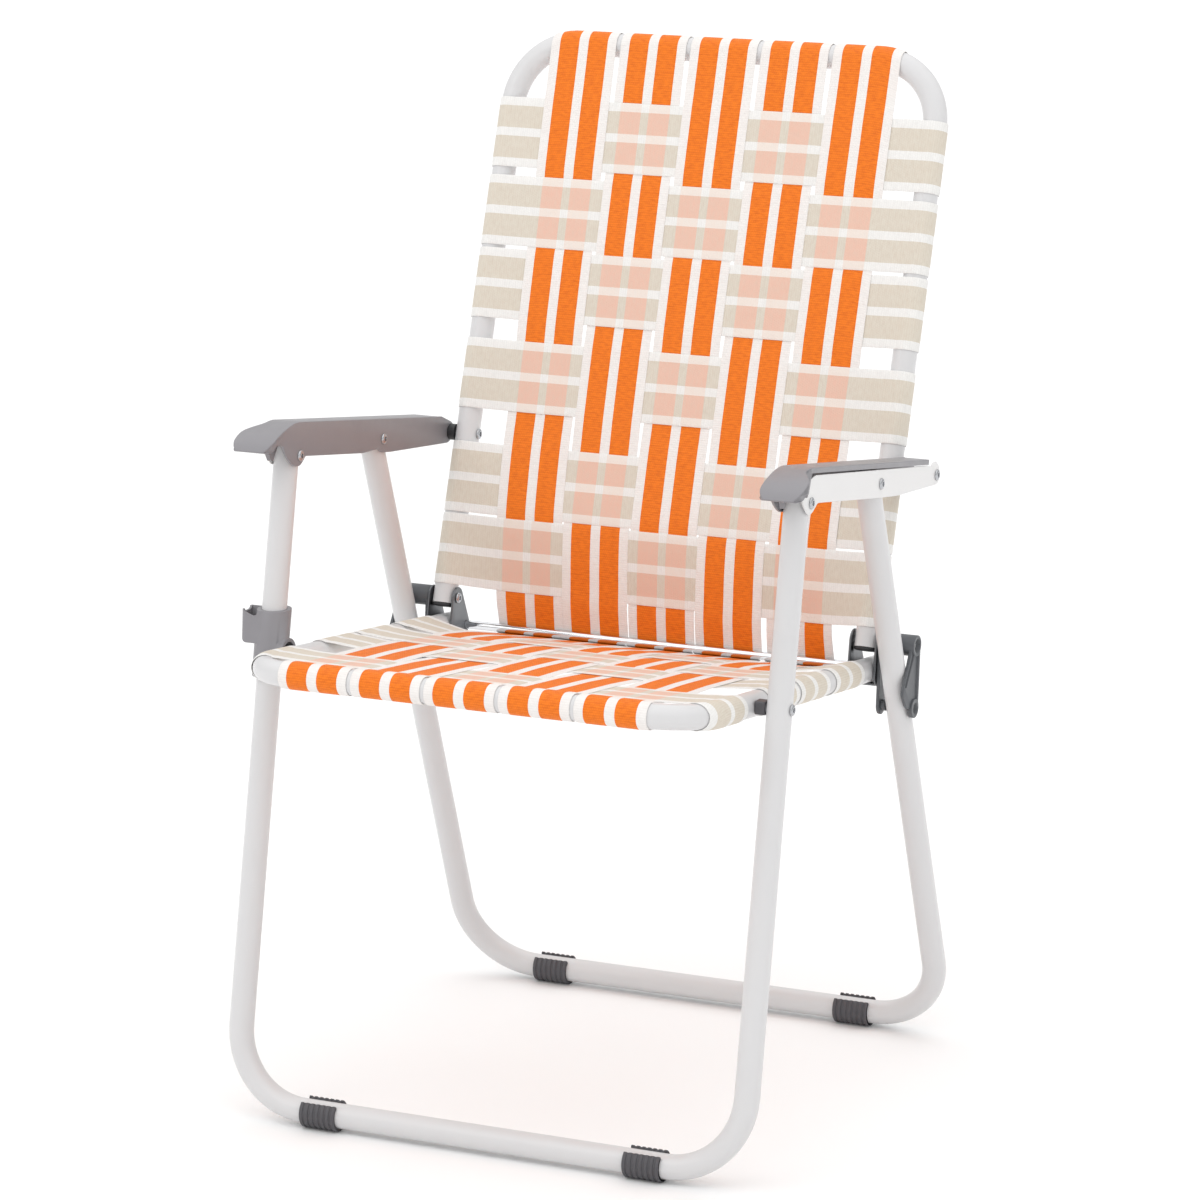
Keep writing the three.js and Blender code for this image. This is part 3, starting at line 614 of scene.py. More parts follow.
def eased(value):
    value = min(1.0, max(0.0, value))
    return value * value * (3 - 2 * value)


# Tubes
RING_SIDES = 40
BEND_STEPS = 18
BORE_DEPTH = 12
TUBE_RIM = 0.3
TUBE_WALL = 1.2
BORE_RADIUS = TUBE_RADIUS - TUBE_WALL
# How far in from a tube's end, and the radius there, from the closed bore out to the tube's side
TUBE_LIP = [
    (BORE_DEPTH, BORE_RADIUS), (TUBE_RIM, BORE_RADIUS), (0, BORE_RADIUS + TUBE_RIM),
    (0, TUBE_RADIUS - TUBE_RIM), (TUBE_RIM, TUBE_RADIUS),
]


def bent_line(corners, radius):
    """Stations along straight runs and bends of one radius: places and directions."""
    stations = [(corners[0], (corners[1] - corners[0]).normalized())]
    for before, corner, after in zip(corners, corners[1:], corners[2:]):
        come = (corner - before).normalized()
        leave = (after - corner).normalized()
        turn = come.angle(leave)
        inward = (leave - come).normalized()
        middle = (come + leave).normalized()
        centre = corner + inward * radius / math.cos(turn / 2)
        for step in range(BEND_STEPS + 1):
            angle = turn * step / BEND_STEPS - turn / 2
            place = centre - inward * radius * math.cos(angle) + middle * radius * math.sin(angle)
            stations.append((place, middle * math.cos(angle) + inward * math.sin(angle)))
    stations.append((corners[-1], (corners[-1] - corners[-2]).normalized()))
    return stations


def ring(centre, first, second, radius):
    """Places round a centre, in the plane of two directions."""
    angles = [FULL_TURN * step / RING_SIDES for step in range(RING_SIDES)]
    return [
        centre + (first * math.cos(angle) + second * math.sin(angle)) * radius * MM
        for angle in angles
    ]


def u_tube(name, half_width, open_end, closed_end, bend):
    """A tube bent to a U, with open ends: its bore is closed a little way in."""
    corners = [
        at(-half_width, open_end), at(-half_width, closed_end),
        at(half_width, closed_end), at(half_width, open_end),
    ]
    plane = (corners[1] - corners[0]).cross(corners[2] - corners[1]).normalized()
    stations = bent_line(corners, bend * MM)
    (start, start_way), (end, end_way) = stations[0], stations[-1]
    stops = [(start + start_way * depth * MM, start_way, radius) for depth, radius in TUBE_LIP]
    stops += [(place, way, TUBE_RADIUS) for place, way in stations[1:-1]]
    stops += [(end - end_way * depth * MM, end_way, radius) for depth, radius in reversed(TUBE_LIP)]
    return skinned(name, [
        ring(place, plane, way.cross(plane).normalized(), radius) for place, way, radius in stops
    ], TUBE_ANGLE)


for name, body, node, half_width, open_end, closed_end, bend in (
    ("front_leg_tube", "front_legs", "front_leg_frame",
     LEG_HALF_WIDTH, along(front_pivot, front_up, FRONT_OVERRUN), front_foot, LEG_CORNER),
    ("rear_leg_tube", "rear_legs", "rear_leg_frame",
     LEG_HALF_WIDTH, along(middle_pivot, rear_up, REAR_OVERRUN), rear_foot, LEG_CORNER),
    ("back_tube", "back", "back_frame",
     SEAT_HALF_WIDTH, on_back(-BACK_TAIL, 0), on_back(BACK_RISE, 0), BACK_CORNER),
    ("seat_tube", "seat", "seat_frame",
     SEAT_HALF_WIDTH, on_seat(-SEAT_END, 0), on_seat(SEAT_REACH, 0), SEAT_CORNER),
):
    piece(name, u_tube(name, half_width, open_end, closed_end, bend), body, "white_paint", "tube_paint",
          replaced=[node])

# Plugs in the tube ends, a little smaller than the bore, with a domed cap outside:
# how far out from the tube's end, and the radius there
PLUG_SHANK = BORE_RADIUS - 0.4
PLUG_PROFILE = [
    (-4.0, 0), (-4.0, PLUG_SHANK), (FIT, PLUG_SHANK), (FIT, TUBE_RADIUS - 0.2), (1.2, TUBE_RADIUS),
    (2.4, TUBE_RADIUS - 0.4), (2.9, TUBE_RADIUS - 1.4), (3.2, TUBE_RADIUS / 2), (3.3, 0),
]


def end_plug(end, way, x):
    centre = at(x, end)
    axis = Vector((0, way.x, way.y)).normalized()
    flat = Vector((1, 0, 0))
    rings = []
    for reach, radius in PLUG_PROFILE:
        place = centre + axis * reach * MM
        rings.append(ring(place, flat, axis.cross(flat), radius) if radius else [place])
    return skinned("plug", rings, TUBE_ANGLE)


# The crease rod, with a small chamfer at each end
rod_end = tube_inner - FIT
ROD_CHAMFER = 0.6
piece("rod", lathe("rod", rod_centre, [
    (-rod_end, 0), (-rod_end, ROD_RADIUS - ROD_CHAMFER), (-rod_end + ROD_CHAMFER, ROD_RADIUS),
    (0, ROD_RADIUS), (rod_end - ROD_CHAMFER, ROD_RADIUS), (rod_end, ROD_RADIUS - ROD_CHAMFER), (rod_end, 0),
]), "seat", "bright_steel", "chrome", replaced=["crease_rod"])

# Hinge brackets: pressed steel ears joined under the seat tube
EAR_PIVOT_RADIUS = 10
EAR_ROD_RADIUS = 7
EAR_LENGTH = 18
WEB_REACH = 20
SHEET_EDGE = 0.4
web_floor = TUBE_RADIUS + FIT


def hinge_bracket(way):
    outline = wrapped([
        (hinge_pivot, EAR_PIVOT_RADIUS),
        (rod_centre, EAR_ROD_RADIUS),
        (on_seat(EAR_LENGTH, 0), web_floor + SHEET),
    ])
    inner = across("bracket", outline, way * (tube_inner - FIT), way * (tube_inner - FIT - SHEET))
    outer = across("ear", outline, way * (tube_outer + FIT), way * (tube_outer + FIT + SHEET))
    web_end = EAR_LENGTH - WEB_REACH
    web = across("web", [
        on_seat(EAR_LENGTH, -web_floor), on_seat(EAR_LENGTH, -web_floor - SHEET),
        on_seat(web_end, -web_floor - SHEET), on_seat(web_end, -web_floor),
    ], way * (tube_inner - FIT - SHEET / 2), way * (tube_outer + FIT + SHEET / 2))
    inner, outer, web = (bevelled(part, SHEET_EDGE, 2) for part in (inner, outer, web))
    hole = lathe("hole", rod_centre, [
        (way * (tube_inner - CUT_RUN), 0), (way * (tube_inner - CUT_RUN), ROD_RADIUS + FIT),
        (way * SEAT_HALF_WIDTH, ROD_RADIUS + FIT), (way * SEAT_HALF_WIDTH, 0),
    ])
    return smooth(combined(combined(inner, [hole]), [outer, web], "UNION"), MOULDED_ANGLE)


# Hinge links: moulded plates with a wing, a rear rib and two bosses
BARREL_RADIUS = 9.5
CHEEK = 3
CHEEK_RIM = 1.7
LOWER_BOSS = 8.7
RECESS_RADIUS = 6.5
RECESS_DEPTH = 5
LOWER_RECESS_RADIUS = 5
LOWER_RECESS_DEPTH = 2.5
INNER_CHEEK_RADIUS = 8.5
INNER_CHEEK = 2.8
STUD_RADIUS = 5
WING_REACH = 27
RIB_WIDTH = 3
RIB_SHARE = 0.85
WING_CORNER = 6
BARREL_SIDES = 56
STUD_INSET = 0.5
MOULDED_EDGE = 0.5
FRONT_RIB_DROP = 0.6
# Along the link as a share of its length, and how far in front of its middle line
FRONT_RIB = [(0.05, 3), (0.62, WING_REACH * 0.82), (0.62, WING_REACH * 0.82 - 2.4), (0.05, 0.6)]
# The same, with the second as a share of the wing's reach
WING_SHARES = [
    (0, -0.21), (1, -0.21), (1, 0.32), (0.95, 0.64), (0.72, 1), (0.6, 0.93), (0.28, 0.55), (0, 0.28),
]
link_inner = tube_outer + FIT + SHEET + FIT
link_outer = leg_outer + FIT + CHEEK + CHEEK_RIM


def hinge_link(way):
    length = (link_pivot - hinge_pivot).length
    down = (link_pivot - hinge_pivot).normalized()
    forward = side(down.y, -down.x)

    def on_link(share, front):
        return hinge_pivot + down * length * share + forward * front

    wing = rounded([
        on_link(share, WING_REACH * front) for share, front in WING_SHARES
    ], WING_CORNER, sharp=(0, 1))
    rib = [
        on_link(0, -BARREL_RADIUS * RIB_SHARE), on_link(1, -LOWER_BOSS * RIB_SHARE),
        on_link(1, -LOWER_BOSS * RIB_SHARE + RIB_WIDTH), on_link(0, -BARREL_RADIUS * RIB_SHARE + RIB_WIDTH),
    ]
    front_rib = [on_link(share, front) for share, front in FRONT_RIB]
    inner_cheek = wrapped([(hinge_pivot, INNER_CHEEK_RADIUS), (link_pivot, INNER_CHEEK_RADIUS)])
    inside, outside = way * link_inner, way * link_outer
    cheek_inner = way * (leg_outer + FIT)
    parts = [
        drum("link", hinge_pivot, BARREL_RADIUS, inside, outside, BARREL_SIDES),
        across("wing", wing, cheek_inner, way * (leg_outer + FIT + CHEEK)),
        across("rib", rib, cheek_inner, outside),
        across("front rib", front_rib, cheek_inner, way * (link_outer - FRONT_RIB_DROP)),
        drum("lower boss", link_pivot, LOWER_BOSS, cheek_inner, outside),
        across("inner cheek", inner_cheek, inside, way * (link_inner + INNER_CHEEK)),
        drum("stud", link_pivot, STUD_RADIUS, way * (link_inner + STUD_INSET), way * (leg_inner - FIT)),
    ]
    body, *others = [bevelled(part, MOULDED_EDGE, 2) for part in parts]
    body = combined(body, others, "UNION")
    cut_end = way * (link_outer + CUT_RUN)
    return smooth(combined(body, [
        drum("recess", hinge_pivot, RECESS_RADIUS, way * (link_outer - RECESS_DEPTH), cut_end),
        drum("dimple", link_pivot, LOWER_RECESS_RADIUS, way * (link_outer - LOWER_RECESS_DEPTH), cut_end),
    ]), MOULDED_ANGLE)


# Arms: a steel plate outside the legs and a moulded armrest over them
PLATE_THICKNESS = 1.5
PLATE_GAP = 0.8
SKIRT = 2.3
LIP_OVERHANG = 0.8
ARM_SKIN = 3
ARM_LIP = 4.6
plate_inner = leg_outer + FIT
plate_outer = plate_inner + PLATE_THICKNESS
arm_inner = leg_inner - FIT - SKIRT
arm_outer = plate_outer + LIP_OVERHANG
# Points of the outlines: how far forward of one of the arm's pivots, and how far above it
TOP_FRONT = (3.1, 29.9)
TOP_END = (17.6, 15.2)
LIP_END_SHARE = 0.98
NOSE_REACH = 58.4
NOSE_RISE = 6.4
NOSE_SHARES = [(0.19, 0.05), (0.43, 0.2), (0.69, 0.44), (0.89, 0.72), (1, 1)]
FRONT_SKIRT = [
    (56.2, 5.2), (48.6, 6.6), (42.9, 11.7), (32.3, 10.8), (23.4, 0),
    (15.5, -5.6), (8.1, -9.1), (-0.9, -9), (-6.8, -4.7), (-10.1, -1.2),
]
MIDDLE_SKIRT = [(40.2, -10.1), (9.2, -8.6), (2.8, -12.3), (-15.4, -13.1)]
REAR_SKIRT = [(2.6, -10.3), (-7.7, -4.6), (-9, 0.9), (-4.6, 8.6)]
PLATE_FRONT = [
    (6, 19.5), (13.6, 15.2), (19, 8.6), (19.7, 3), (13.7, -3.4),
    (6.7, -8.7), (2, -9.9), (-3.9, -8.3), (-14.7, -1.1),
]
PLATE_MIDDLE = [(3.3, -12)]
PLATE_REAR = [
    (92.4, -10.7), (-1.9, -8.6), (-7.1, -5.3), (-8.6, 1.4),
    (-5.2, 8.1), (2.3, 12.3), (7.3, 12.3), (13, 8.7),
]
PLATE_START_SHARE = 0.04
LIP_SHADOW = 1.1
NOSE_RIB = [(39, 10), (32, -3), (29, -3), (23, 12)]
NOSE_RIB_PLACE = (236.5, 239.5)
CUT_MARGIN = 60
LIP_NOSE = [(19, 15.1), (36.5, 2.8), (38, -CUT_MARGIN)]
LIP_END = [(-CUT_MARGIN, -CUT_MARGIN), (-CUT_MARGIN, CUT_MARGIN), (TOP_END[0], CUT_MARGIN)]
HOLLOW_END = [(-CUT_MARGIN, -CUT_MARGIN), (-CUT_MARGIN, TOP_END[1] - ARM_SKIN)]
HOLLOW_NOSE_REACH = 53.6
NOSE_CORNER = 12
FLARE = 12
FLARE_START = 14
FLARE_RUN = 26
NOSE_DRAW = 0.8
TOP_STEPS = 12
TOP_ROUNDING = 3.2
SKIRT_CORNER = 3
PLATE_CORNER = 3
arm_top_front = on_arm(front_pivot, *TOP_FRONT)
arm_top_end = on_arm(rear_pivot, *TOP_END)


def under_top(share, drop):
    return arm_top_front.lerp(arm_top_end, share) - arm_up * drop


def by_arm(pivot, offsets):
    return [on_arm(pivot, forward, rise) for forward, rise in offsets]


def nose_curve(inset):
    reach = NOSE_REACH - TOP_FRONT[0] - inset
    depth = TOP_FRONT[1] - NOSE_RISE - inset
    return by_arm(front_pivot, [
        (TOP_FRONT[0] + forward * reach, TOP_FRONT[1] - inset - drop * depth)
        for forward, drop in NOSE_SHARES
    ])


LINE_STEPS = 6


def soft_line(points):
    """A smooth open line through points."""
    result = []
    for place in range(len(points) - 1):
        a = points[max(0, place - 1)]
        b = points[place]
        c = points[place + 1]
        d = points[min(len(points) - 1, place + 2)]
        for step in range(LINE_STEPS):
            t = step / LINE_STEPS
            result.append(0.5 * (
                2 * b + (c - a) * t + (2 * a - 5 * b + 4 * c - d) * t * t + (3 * b - a - 3 * c + d) * t ** 3
            ))
    return result + [points[-1]]


def shaped_nose(mesh, way):
    """In plan the nose flares outwards and its corners are rounded."""
    for vertex in mesh.vertices:
        local = (vertex.co - origin) / MM
        forward = (front_pivot - side(local.y, local.z)).dot(arm_back)
        across_share = (way * local.x - arm_inner) / (arm_outer - arm_inner)
        flare = FLARE * eased((forward - FLARE_START) / FLARE_RUN)
        x = way * local.x + flare * across_share
        over = min(NOSE_CORNER, forward - (NOSE_REACH - NOSE_CORNER))
        if over > 0:
            middle = (arm_inner + arm_outer + flare) / 2
            half = middle - arm_inner
            drawn = NOSE_CORNER - math.sqrt(max(0.0, NOSE_CORNER ** 2 - over ** 2))
            x = middle + (x - middle) * (1 - NOSE_DRAW * drawn / half)
        vertex.co.x = origin.x + way * x * MM
    return mesh


def armrest(way):
    nose = soft_line([arm_top_front] + nose_curve(0))
    top = [arm_top_end] + [under_top(1 - step / TOP_STEPS, 0) for step in range(1, TOP_STEPS)]
    lower = [
        *by_arm(front_pivot, FRONT_SKIRT),
        *by_arm(middle_pivot, MIDDLE_SKIRT),
        *by_arm(rear_pivot, REAR_SKIRT),
    ]
    rim = rounded(lower + [arm_top_end], SKIRT_CORNER, 4, sharp=(0, len(lower)))[:-1]
    shell = across("armrest", top + nose + rim, way * arm_inner, way * arm_outer)
    shell = bevelled(shell, TOP_ROUNDING, 5, angle=25)
    hollow = across("hollow", [
        under_top(1, ARM_SKIN), under_top(0, ARM_SKIN),
        *soft_line([under_top(0, ARM_SKIN)] + nose_curve(ARM_SKIN)[:-1])[1:],
        on_arm(front_pivot, HOLLOW_NOSE_REACH, -CUT_MARGIN), *by_arm(rear_pivot, HOLLOW_END),
    ], way * (arm_inner + SKIRT), way * (plate_inner - FIT))
    lip = across("lip", [
        under_top(LIP_END_SHARE, ARM_LIP), under_top(0, ARM_LIP),
        *by_arm(front_pivot, LIP_NOSE), *by_arm(rear_pivot, LIP_END),
    ], way * (arm_inner + SKIRT), way * (arm_outer + CUT_RUN))
    rib = across("rib", by_arm(front_pivot, NOSE_RIB), *(way * place for place in NOSE_RIB_PLACE))
    body = combined(combined(shell, [hollow, lip]), [rib], "UNION")
    return smooth(shaped_nose(body, way), MOULDED_ANGLE)


def arm_plate(way):
    outline = rounded([
        under_top(PLATE_START_SHARE, ARM_LIP + PLATE_GAP + LIP_SHADOW),
        *by_arm(front_pivot, PLATE_FRONT),
        *by_arm(middle_pivot, PLATE_MIDDLE),
        *by_arm(rear_pivot, PLATE_REAR),
        under_top(LIP_END_SHARE, ARM_LIP + PLATE_GAP),
    ], PLATE_CORNER, 4, sharp=(0,))
    plate = across("plate", outline, way * plate_inner, way * plate_outer)
    return bevelled(plate, SHEET_EDGE, 2, angle=40)


# Spacers between seat and leg, and bushes between back and arm
SPACER = 11.8
SPACER_CORNER = 2.2
BUSH_RADIUS = 7.5
BLOCK_EDGE = 0.6


def seat_spacer(way):
    half = SPACER / 2
    corners = [side(-half, -half), side(half, -half), side(half, half), side(-half, half)]
    outline = [seat_pivot + corner for corner in rounded(corners, SPACER_CORNER)]
    block = across("spacer", outline, way * (tube_outer + FIT), way * (leg_inner - FIT))
    return bevelled(block, BLOCK_EDGE, 2)


def arm_bush(way):
    start, end = way * (tube_outer + FIT), way * (arm_inner - FIT)
    return bevelled(drum("bush", rear_pivot, BUSH_RADIUS, start, end), BLOCK_EDGE, 2, angle=50)


for label, way in SIDES:
    back_plug = end_plug(on_back(-BACK_TAIL, 0), -back_up, way * SEAT_HALF_WIDTH)
    seat_plug = end_plug(on_seat(-SEAT_END, 0), -seat_front, way * SEAT_HALF_WIDTH)
    for name, mesh, body, slot, finish, node in (
        ("back_plug", back_plug, "back", "dark_plastic", None, "back_plug"),
        ("seat_plug", seat_plug, "seat", "grey_plastic", None, "seat_plug"),
        # The brackets' steel is darkened: painted shade
        ("bracket", hinge_bracket(way), "seat", "bright_steel", "shaded_ear_steel", "hinge_bracket"),
        # The links' plastic is the grey plastic darkened: painted shade
        ("link", hinge_link(way), "links", "grey_plastic", "link_plastic", "hinge_link"),
        ("side_plate", arm_plate(way), "arms", "white_paint", None, "arm_plate"),
        ("arm_pad", armrest(way), "arms", "grey_plastic", None, "armrest"),
        ("spacer", seat_spacer(way), "seat", "dark_plastic", "foot_plastic", "seat_spacer"),
        ("bush", arm_bush(way), "arms", "dark_plastic", None, "arm_bush"),
    ):
        piece(f"{name}.{label}", mesh, body, slot, finish, replaced=[f"{node}_{label}"])


# Geometry Nodes
class Tree:
    """A Geometry Nodes tree with named inputs."""

    def __init__(self, name, inputs):
        self.group = bpy.data.node_groups.new(name, "GeometryNodeTree")
        self.nodes = self.group.nodes
        self.group.interface.new_socket("Geometry", in_out="INPUT", socket_type="NodeSocketGeometry")
        self.ids = {}
        for label, kind in inputs.items():
            socket = self.group.interface.new_socket(label, in_out="INPUT", socket_type=kind)
            self.ids[label] = socket.identifier
        self.group.interface.new_socket("Geometry", in_out="OUTPUT", socket_type="NodeSocketGeometry")
        self.start = self.nodes.new("NodeGroupInput")
        self.end = self.nodes.new("NodeGroupOutput")

    def node(self, kind, settings=None, **values):
        made = self.nodes.new(kind)
        for name, value in (settings or {}).items():
            setattr(made, name, value)
        for name, value in values.items():
            self.feed(made.inputs[name.replace("_", " ")], value)
        return made

    def feed(self, socket, value):
        if isinstance(value, bpy.types.NodeSocket):
            self.group.links.new(value, socket)
        else:
            socket.default_value = value

    def given(self, label):
        return self.start.outputs[label]

    def finish(self, geometry, material):
        real = self.node("GeometryNodeRealizeInstances", Geometry=geometry)
        painted = self.node("GeometryNodeSetMaterial", Geometry=real.outputs[0], Material=material)
        self.group.links.new(painted.outputs[0], self.end.inputs[0])
        return self


def grown(tree, mesh, name, values):
    """The tree's result on a mesh, as a plain mesh."""
    made = scratch(mesh)
    step = made.modifiers.new("tree", "NODES")
    step.node_group = tree.group
    for label, value in values.items():
        step[tree.ids[label]] = value
    return evaluated(made, name)


# Rivets: a domed head with a dimple at each end of a shank
HEAD_RADIUS = 5
HEAD_HEIGHT = 2
SHANK_RADIUS = 3

HEAD_SIDES = 28
SHANK_SIDES = 24
# Rise and radius, in shares of the head's height and radius
HEAD_PROFILE = [
    (-0.6, 0), (-0.6, 0.6), (0, 0.62), (0.02, 0.96), (0.12, 1.0), (0.3, 0.98), (0.62, 0.86), (0.86, 0.66),
    (0.98, 0.52), (0.92, 0.44), (0.6, 0.40), (0.1, 0.38), (-0.2, 0.36), (-0.2, 0),
]


def rivet_head():
    """One head along +Z at unit radius and height."""
    angles = [FULL_TURN * step / HEAD_SIDES for step in range(HEAD_SIDES)]
    return skinned("head", [
        [(radius * math.cos(angle), radius * math.sin(angle), rise) for angle in angles]
        if radius else [(0, 0, rise)]
        for rise, radius in HEAD_PROFILE
    ], HEAD_ANGLE)


def rivet_tree():
    tree = Tree("rivets", {
        "Head": "NodeSocketObject",
        "Head radius": "NodeSocketFloat",
        "Head height": "NodeSocketFloat",
        "Shank radius": "NodeSocketFloat",
    })
    source = tree.given("Geometry")
    head = tree.node("GeometryNodeObjectInfo", Object=tree.given("Head"))
    facing = tree.node("GeometryNodeInputNamedAttribute", {"data_type": "FLOAT_VECTOR"}, Name="facing")
    turn = tree.node("FunctionNodeAlignEulerToVector", {"axis": "Z"}, Vector=facing.outputs[0])
    size = tree.node(
        "ShaderNodeCombineXYZ",
        X=tree.given("Head radius"), Y=tree.given("Head radius"), Z=tree.given("Head height"),
    )
    points = tree.node("GeometryNodeMeshToPoints", Mesh=source)
    heads = tree.node(
        "GeometryNodeInstanceOnPoints",
        Points=points.outputs[0], Instance=head.outputs["Geometry"],
        Rotation=turn.outputs[0], Scale=size.outputs[0],
    )
    line = tree.node("GeometryNodeMeshToCurve", Mesh=source)
    section = tree.node(
        "GeometryNodeCurvePrimitiveCircle", Resolution=SHANK_SIDES, Radius=tree.given("Shank radius"),
    )
    shank = tree.node(
        "GeometryNodeCurveToMesh",
        Curve=line.outputs[0], Profile_Curve=section.outputs["Curve"], Fill_Caps=True,
    )
    both = tree.node("GeometryNodeJoinGeometry")
    tree.group.links.new(heads.outputs[0], both.inputs[0])
    tree.group.links.new(shank.outputs[0], both.inputs[0])
    return tree.finish(both.outputs[0], materials["bright_steel"])


rivets = rivet_tree()
head_object = scratch(rivet_head())


def rivet_row(name, spans, body, replaced):
    """Rivets from one place to another across the chair, each span (centre, from, to)."""
    mesh = bpy.data.meshes.new(name)
    places, edges, facings = [], [], []
    for centre, start, end in spans:
        way = 1 if end > start else -1
        edges.append((len(places), len(places) + 1))
        places += [at(start, centre), at(end, centre)]
        facings += [(-way, 0, 0), (way, 0, 0)]
    mesh.from_pydata(places, edges, [])
    attribute = mesh.attributes.new("facing", "FLOAT_VECTOR", "POINT")
    attribute.data.foreach_set("vector", [value for facing in facings for value in facing])
    made = grown(rivets, mesh, name, {
        "Head": head_object,
        "Head radius": HEAD_RADIUS * MM,
        "Head height": HEAD_HEIGHT * MM,
        "Shank radius": SHANK_RADIUS * MM,
    })
    piece(name, smooth(made, HEAD_ANGLE), body, "bright_steel", replaced=replaced)


arm_spans = [
    (pivot, way * (arm_inner - FIT), way * (plate_outer + FIT))
    for pivot in (front_pivot, middle_pivot) for way in BOTH_WAYS
]
arm_spans += [(rear_pivot, way * (tube_inner - FIT), way * (plate_outer + FIT)) for way in BOTH_WAYS]
rivet_row("arm_rivets", arm_spans, "arms", [
    f"{place}_arm_rivet_{label}" for place in ("front", "middle", "rear") for label in ("left", "right")
])
rivet_row("seat_rivets", [
    (seat_pivot, way * (leg_inner + FIT), way * (leg_outer + FIT)) for way in BOTH_WAYS
], "front_legs", ["seat_rivet_left", "seat_rivet_right"])
rivet_row("hinge_rivets", [
    (hinge_pivot, way * (tube_inner - 2 * FIT - SHEET), way * (link_outer - RECESS_DEPTH + FIT))
    for way in BOTH_WAYS
], "seat", ["hinge_rivet_left", "hinge_rivet_right"])

# Foot pads: an open sleeve round the bar, with ribs across it
PAD_LENGTH = 34
PAD_TO_BEND = 2
PAD_FRONT_OPENING = math.radians(38)
PAD_BACK_OPENING = math.radians(30)
PAD_RIBS = 7
RIB_THICKNESS = 3.2
RIB_SINK = 0.7
PAD_EDGE = 0.3
RIB_EDGE = 0.5
PAD_SIDES = 30
PAD_BORE_SIDES = 44
pad_place = LEG_HALF_WIDTH - LEG_CORNER - PAD_TO_BEND - PAD_LENGTH / 2


def pad_outline(foot, sink):
    """The sleeve's section, with its outside sunk for the grooves between ribs."""
    inner = TUBE_RADIUS + FIT
    outer = bar_height - sink
    top = math.pi / 2
    behind = circle(foot, outer, PAD_SIDES, -top, 2 * top - PAD_BACK_OPENING)
    opening = PAD_BACK_OPENING + PAD_FRONT_OPENING
    inside = circle(foot, inner, PAD_BORE_SIDES, top - PAD_BACK_OPENING, opening - FULL_TURN)
    before = circle(foot, outer, PAD_SIDES, top + PAD_FRONT_OPENING, 2 * top - PAD_FRONT_OPENING)
    return behind + inside + before[:-1]


def pad_tree():
    tree = Tree("pad ribs", {
        "Rib": "NodeSocketObject",
        "Count": "NodeSocketInt",
        "Pitch": "NodeSocketFloat",
    })
    rib = tree.node("GeometryNodeObjectInfo", Object=tree.given("Rib"))
    step = tree.node("ShaderNodeCombineXYZ", X=tree.given("Pitch"))
    line = tree.node("GeometryNodeMeshLine", Count=tree.given("Count"), Offset=step.outputs[0])
    ribs = tree.node(
        "GeometryNodeInstanceOnPoints", Points=line.outputs[0], Instance=rib.outputs["Geometry"],
    )
    both = tree.node("GeometryNodeJoinGeometry")
    tree.group.links.new(ribs.outputs[0], both.inputs[0])
    tree.group.links.new(tree.given("Geometry"), both.inputs[0])
    return tree.finish(both.outputs[0], materials["foot_plastic"])


pad_ribs = pad_tree()


def foot_pad(foot, way):
    start = way * pad_place - PAD_LENGTH / 2
    core = across("core", pad_outline(foot, RIB_SINK), start, start + PAD_LENGTH)
    rib = across("rib", pad_outline(foot, 0), start, start + RIB_THICKNESS)
    rib_object = scratch(bevelled(rib, RIB_EDGE, 3, angle=50))
    made = grown(pad_ribs, bevelled(core, PAD_EDGE, 2, angle=50), "pad", {
        "Rib": rib_object,
        "Count": PAD_RIBS,
        "Pitch": (PAD_LENGTH - RIB_THICKNESS) / (PAD_RIBS - 1) * MM,
    })
    bpy.data.objects.remove(rib_object)
    return smooth(made, MOULDED_ANGLE)


for label, way in SIDES:
    for place, foot, body in (("front", front_foot, "front_legs"), ("rear", rear_foot, "rear_legs")):
        piece(f"{place}_pad.{label}", foot_pad(foot, way), body, "dark_plastic", "foot_plastic",
              replaced=[f"{place}_foot_pad_{label}"])

# The holder clip: a sleeve round the left front leg with a pocket outside it
CLIP_BOTTOM = 383
CLIP_HEIGHT = 58.5
CLIP_WALL = 4
POCKET_HEIGHT = 29
POCKET_REACH = 25.1
POCKET_REAR = 4.6
POCKET_WALL = 2
POCKET_CORNER = 4
POCKET_HEEL = 6
POCKET_DRAFT = 1.3
CLIP_BOSS = 14
CLIP_BOSS_RISE = 2.2
CLIP_TURN_ROOM = 10.8
CLIP_SIDES = 56
POCKET_CORNER_STEPS = 5
HEEL_STEPS = 6
CLIP_EDGE = 0.6
CUT_CLEAR = 1
# In from the pocket's outer side (front) or back from the leg's line (side), and up from the rim
FRONT_DIP = [
    (1.5, 1), (1.5, -0.1), (4, -1.9), (8, -3.8), (11.5, -4.8),
    (14, -4.6), (15.5, -3.4), (16.1, -1.2), (16.2, 1),
]
SIDE_DIP = [(-11.4, 1), (-11, -0.9), (-9, -2.5), (-1.5, -2.5), (0.9, -1.4), (1.4, 1)]


def upright(name, outline, low, high, hollow=None):
    """An outline in (X, Y) extruded upwards, less a hollow's outline."""
    def raised(line):
        return skinned(name, [[Vector((p.x, p.y, z)) * MM for p in line] for z in (low, high)])

    return combined(raised(outline), [raised(hollow)]) if hollow else raised(outline)


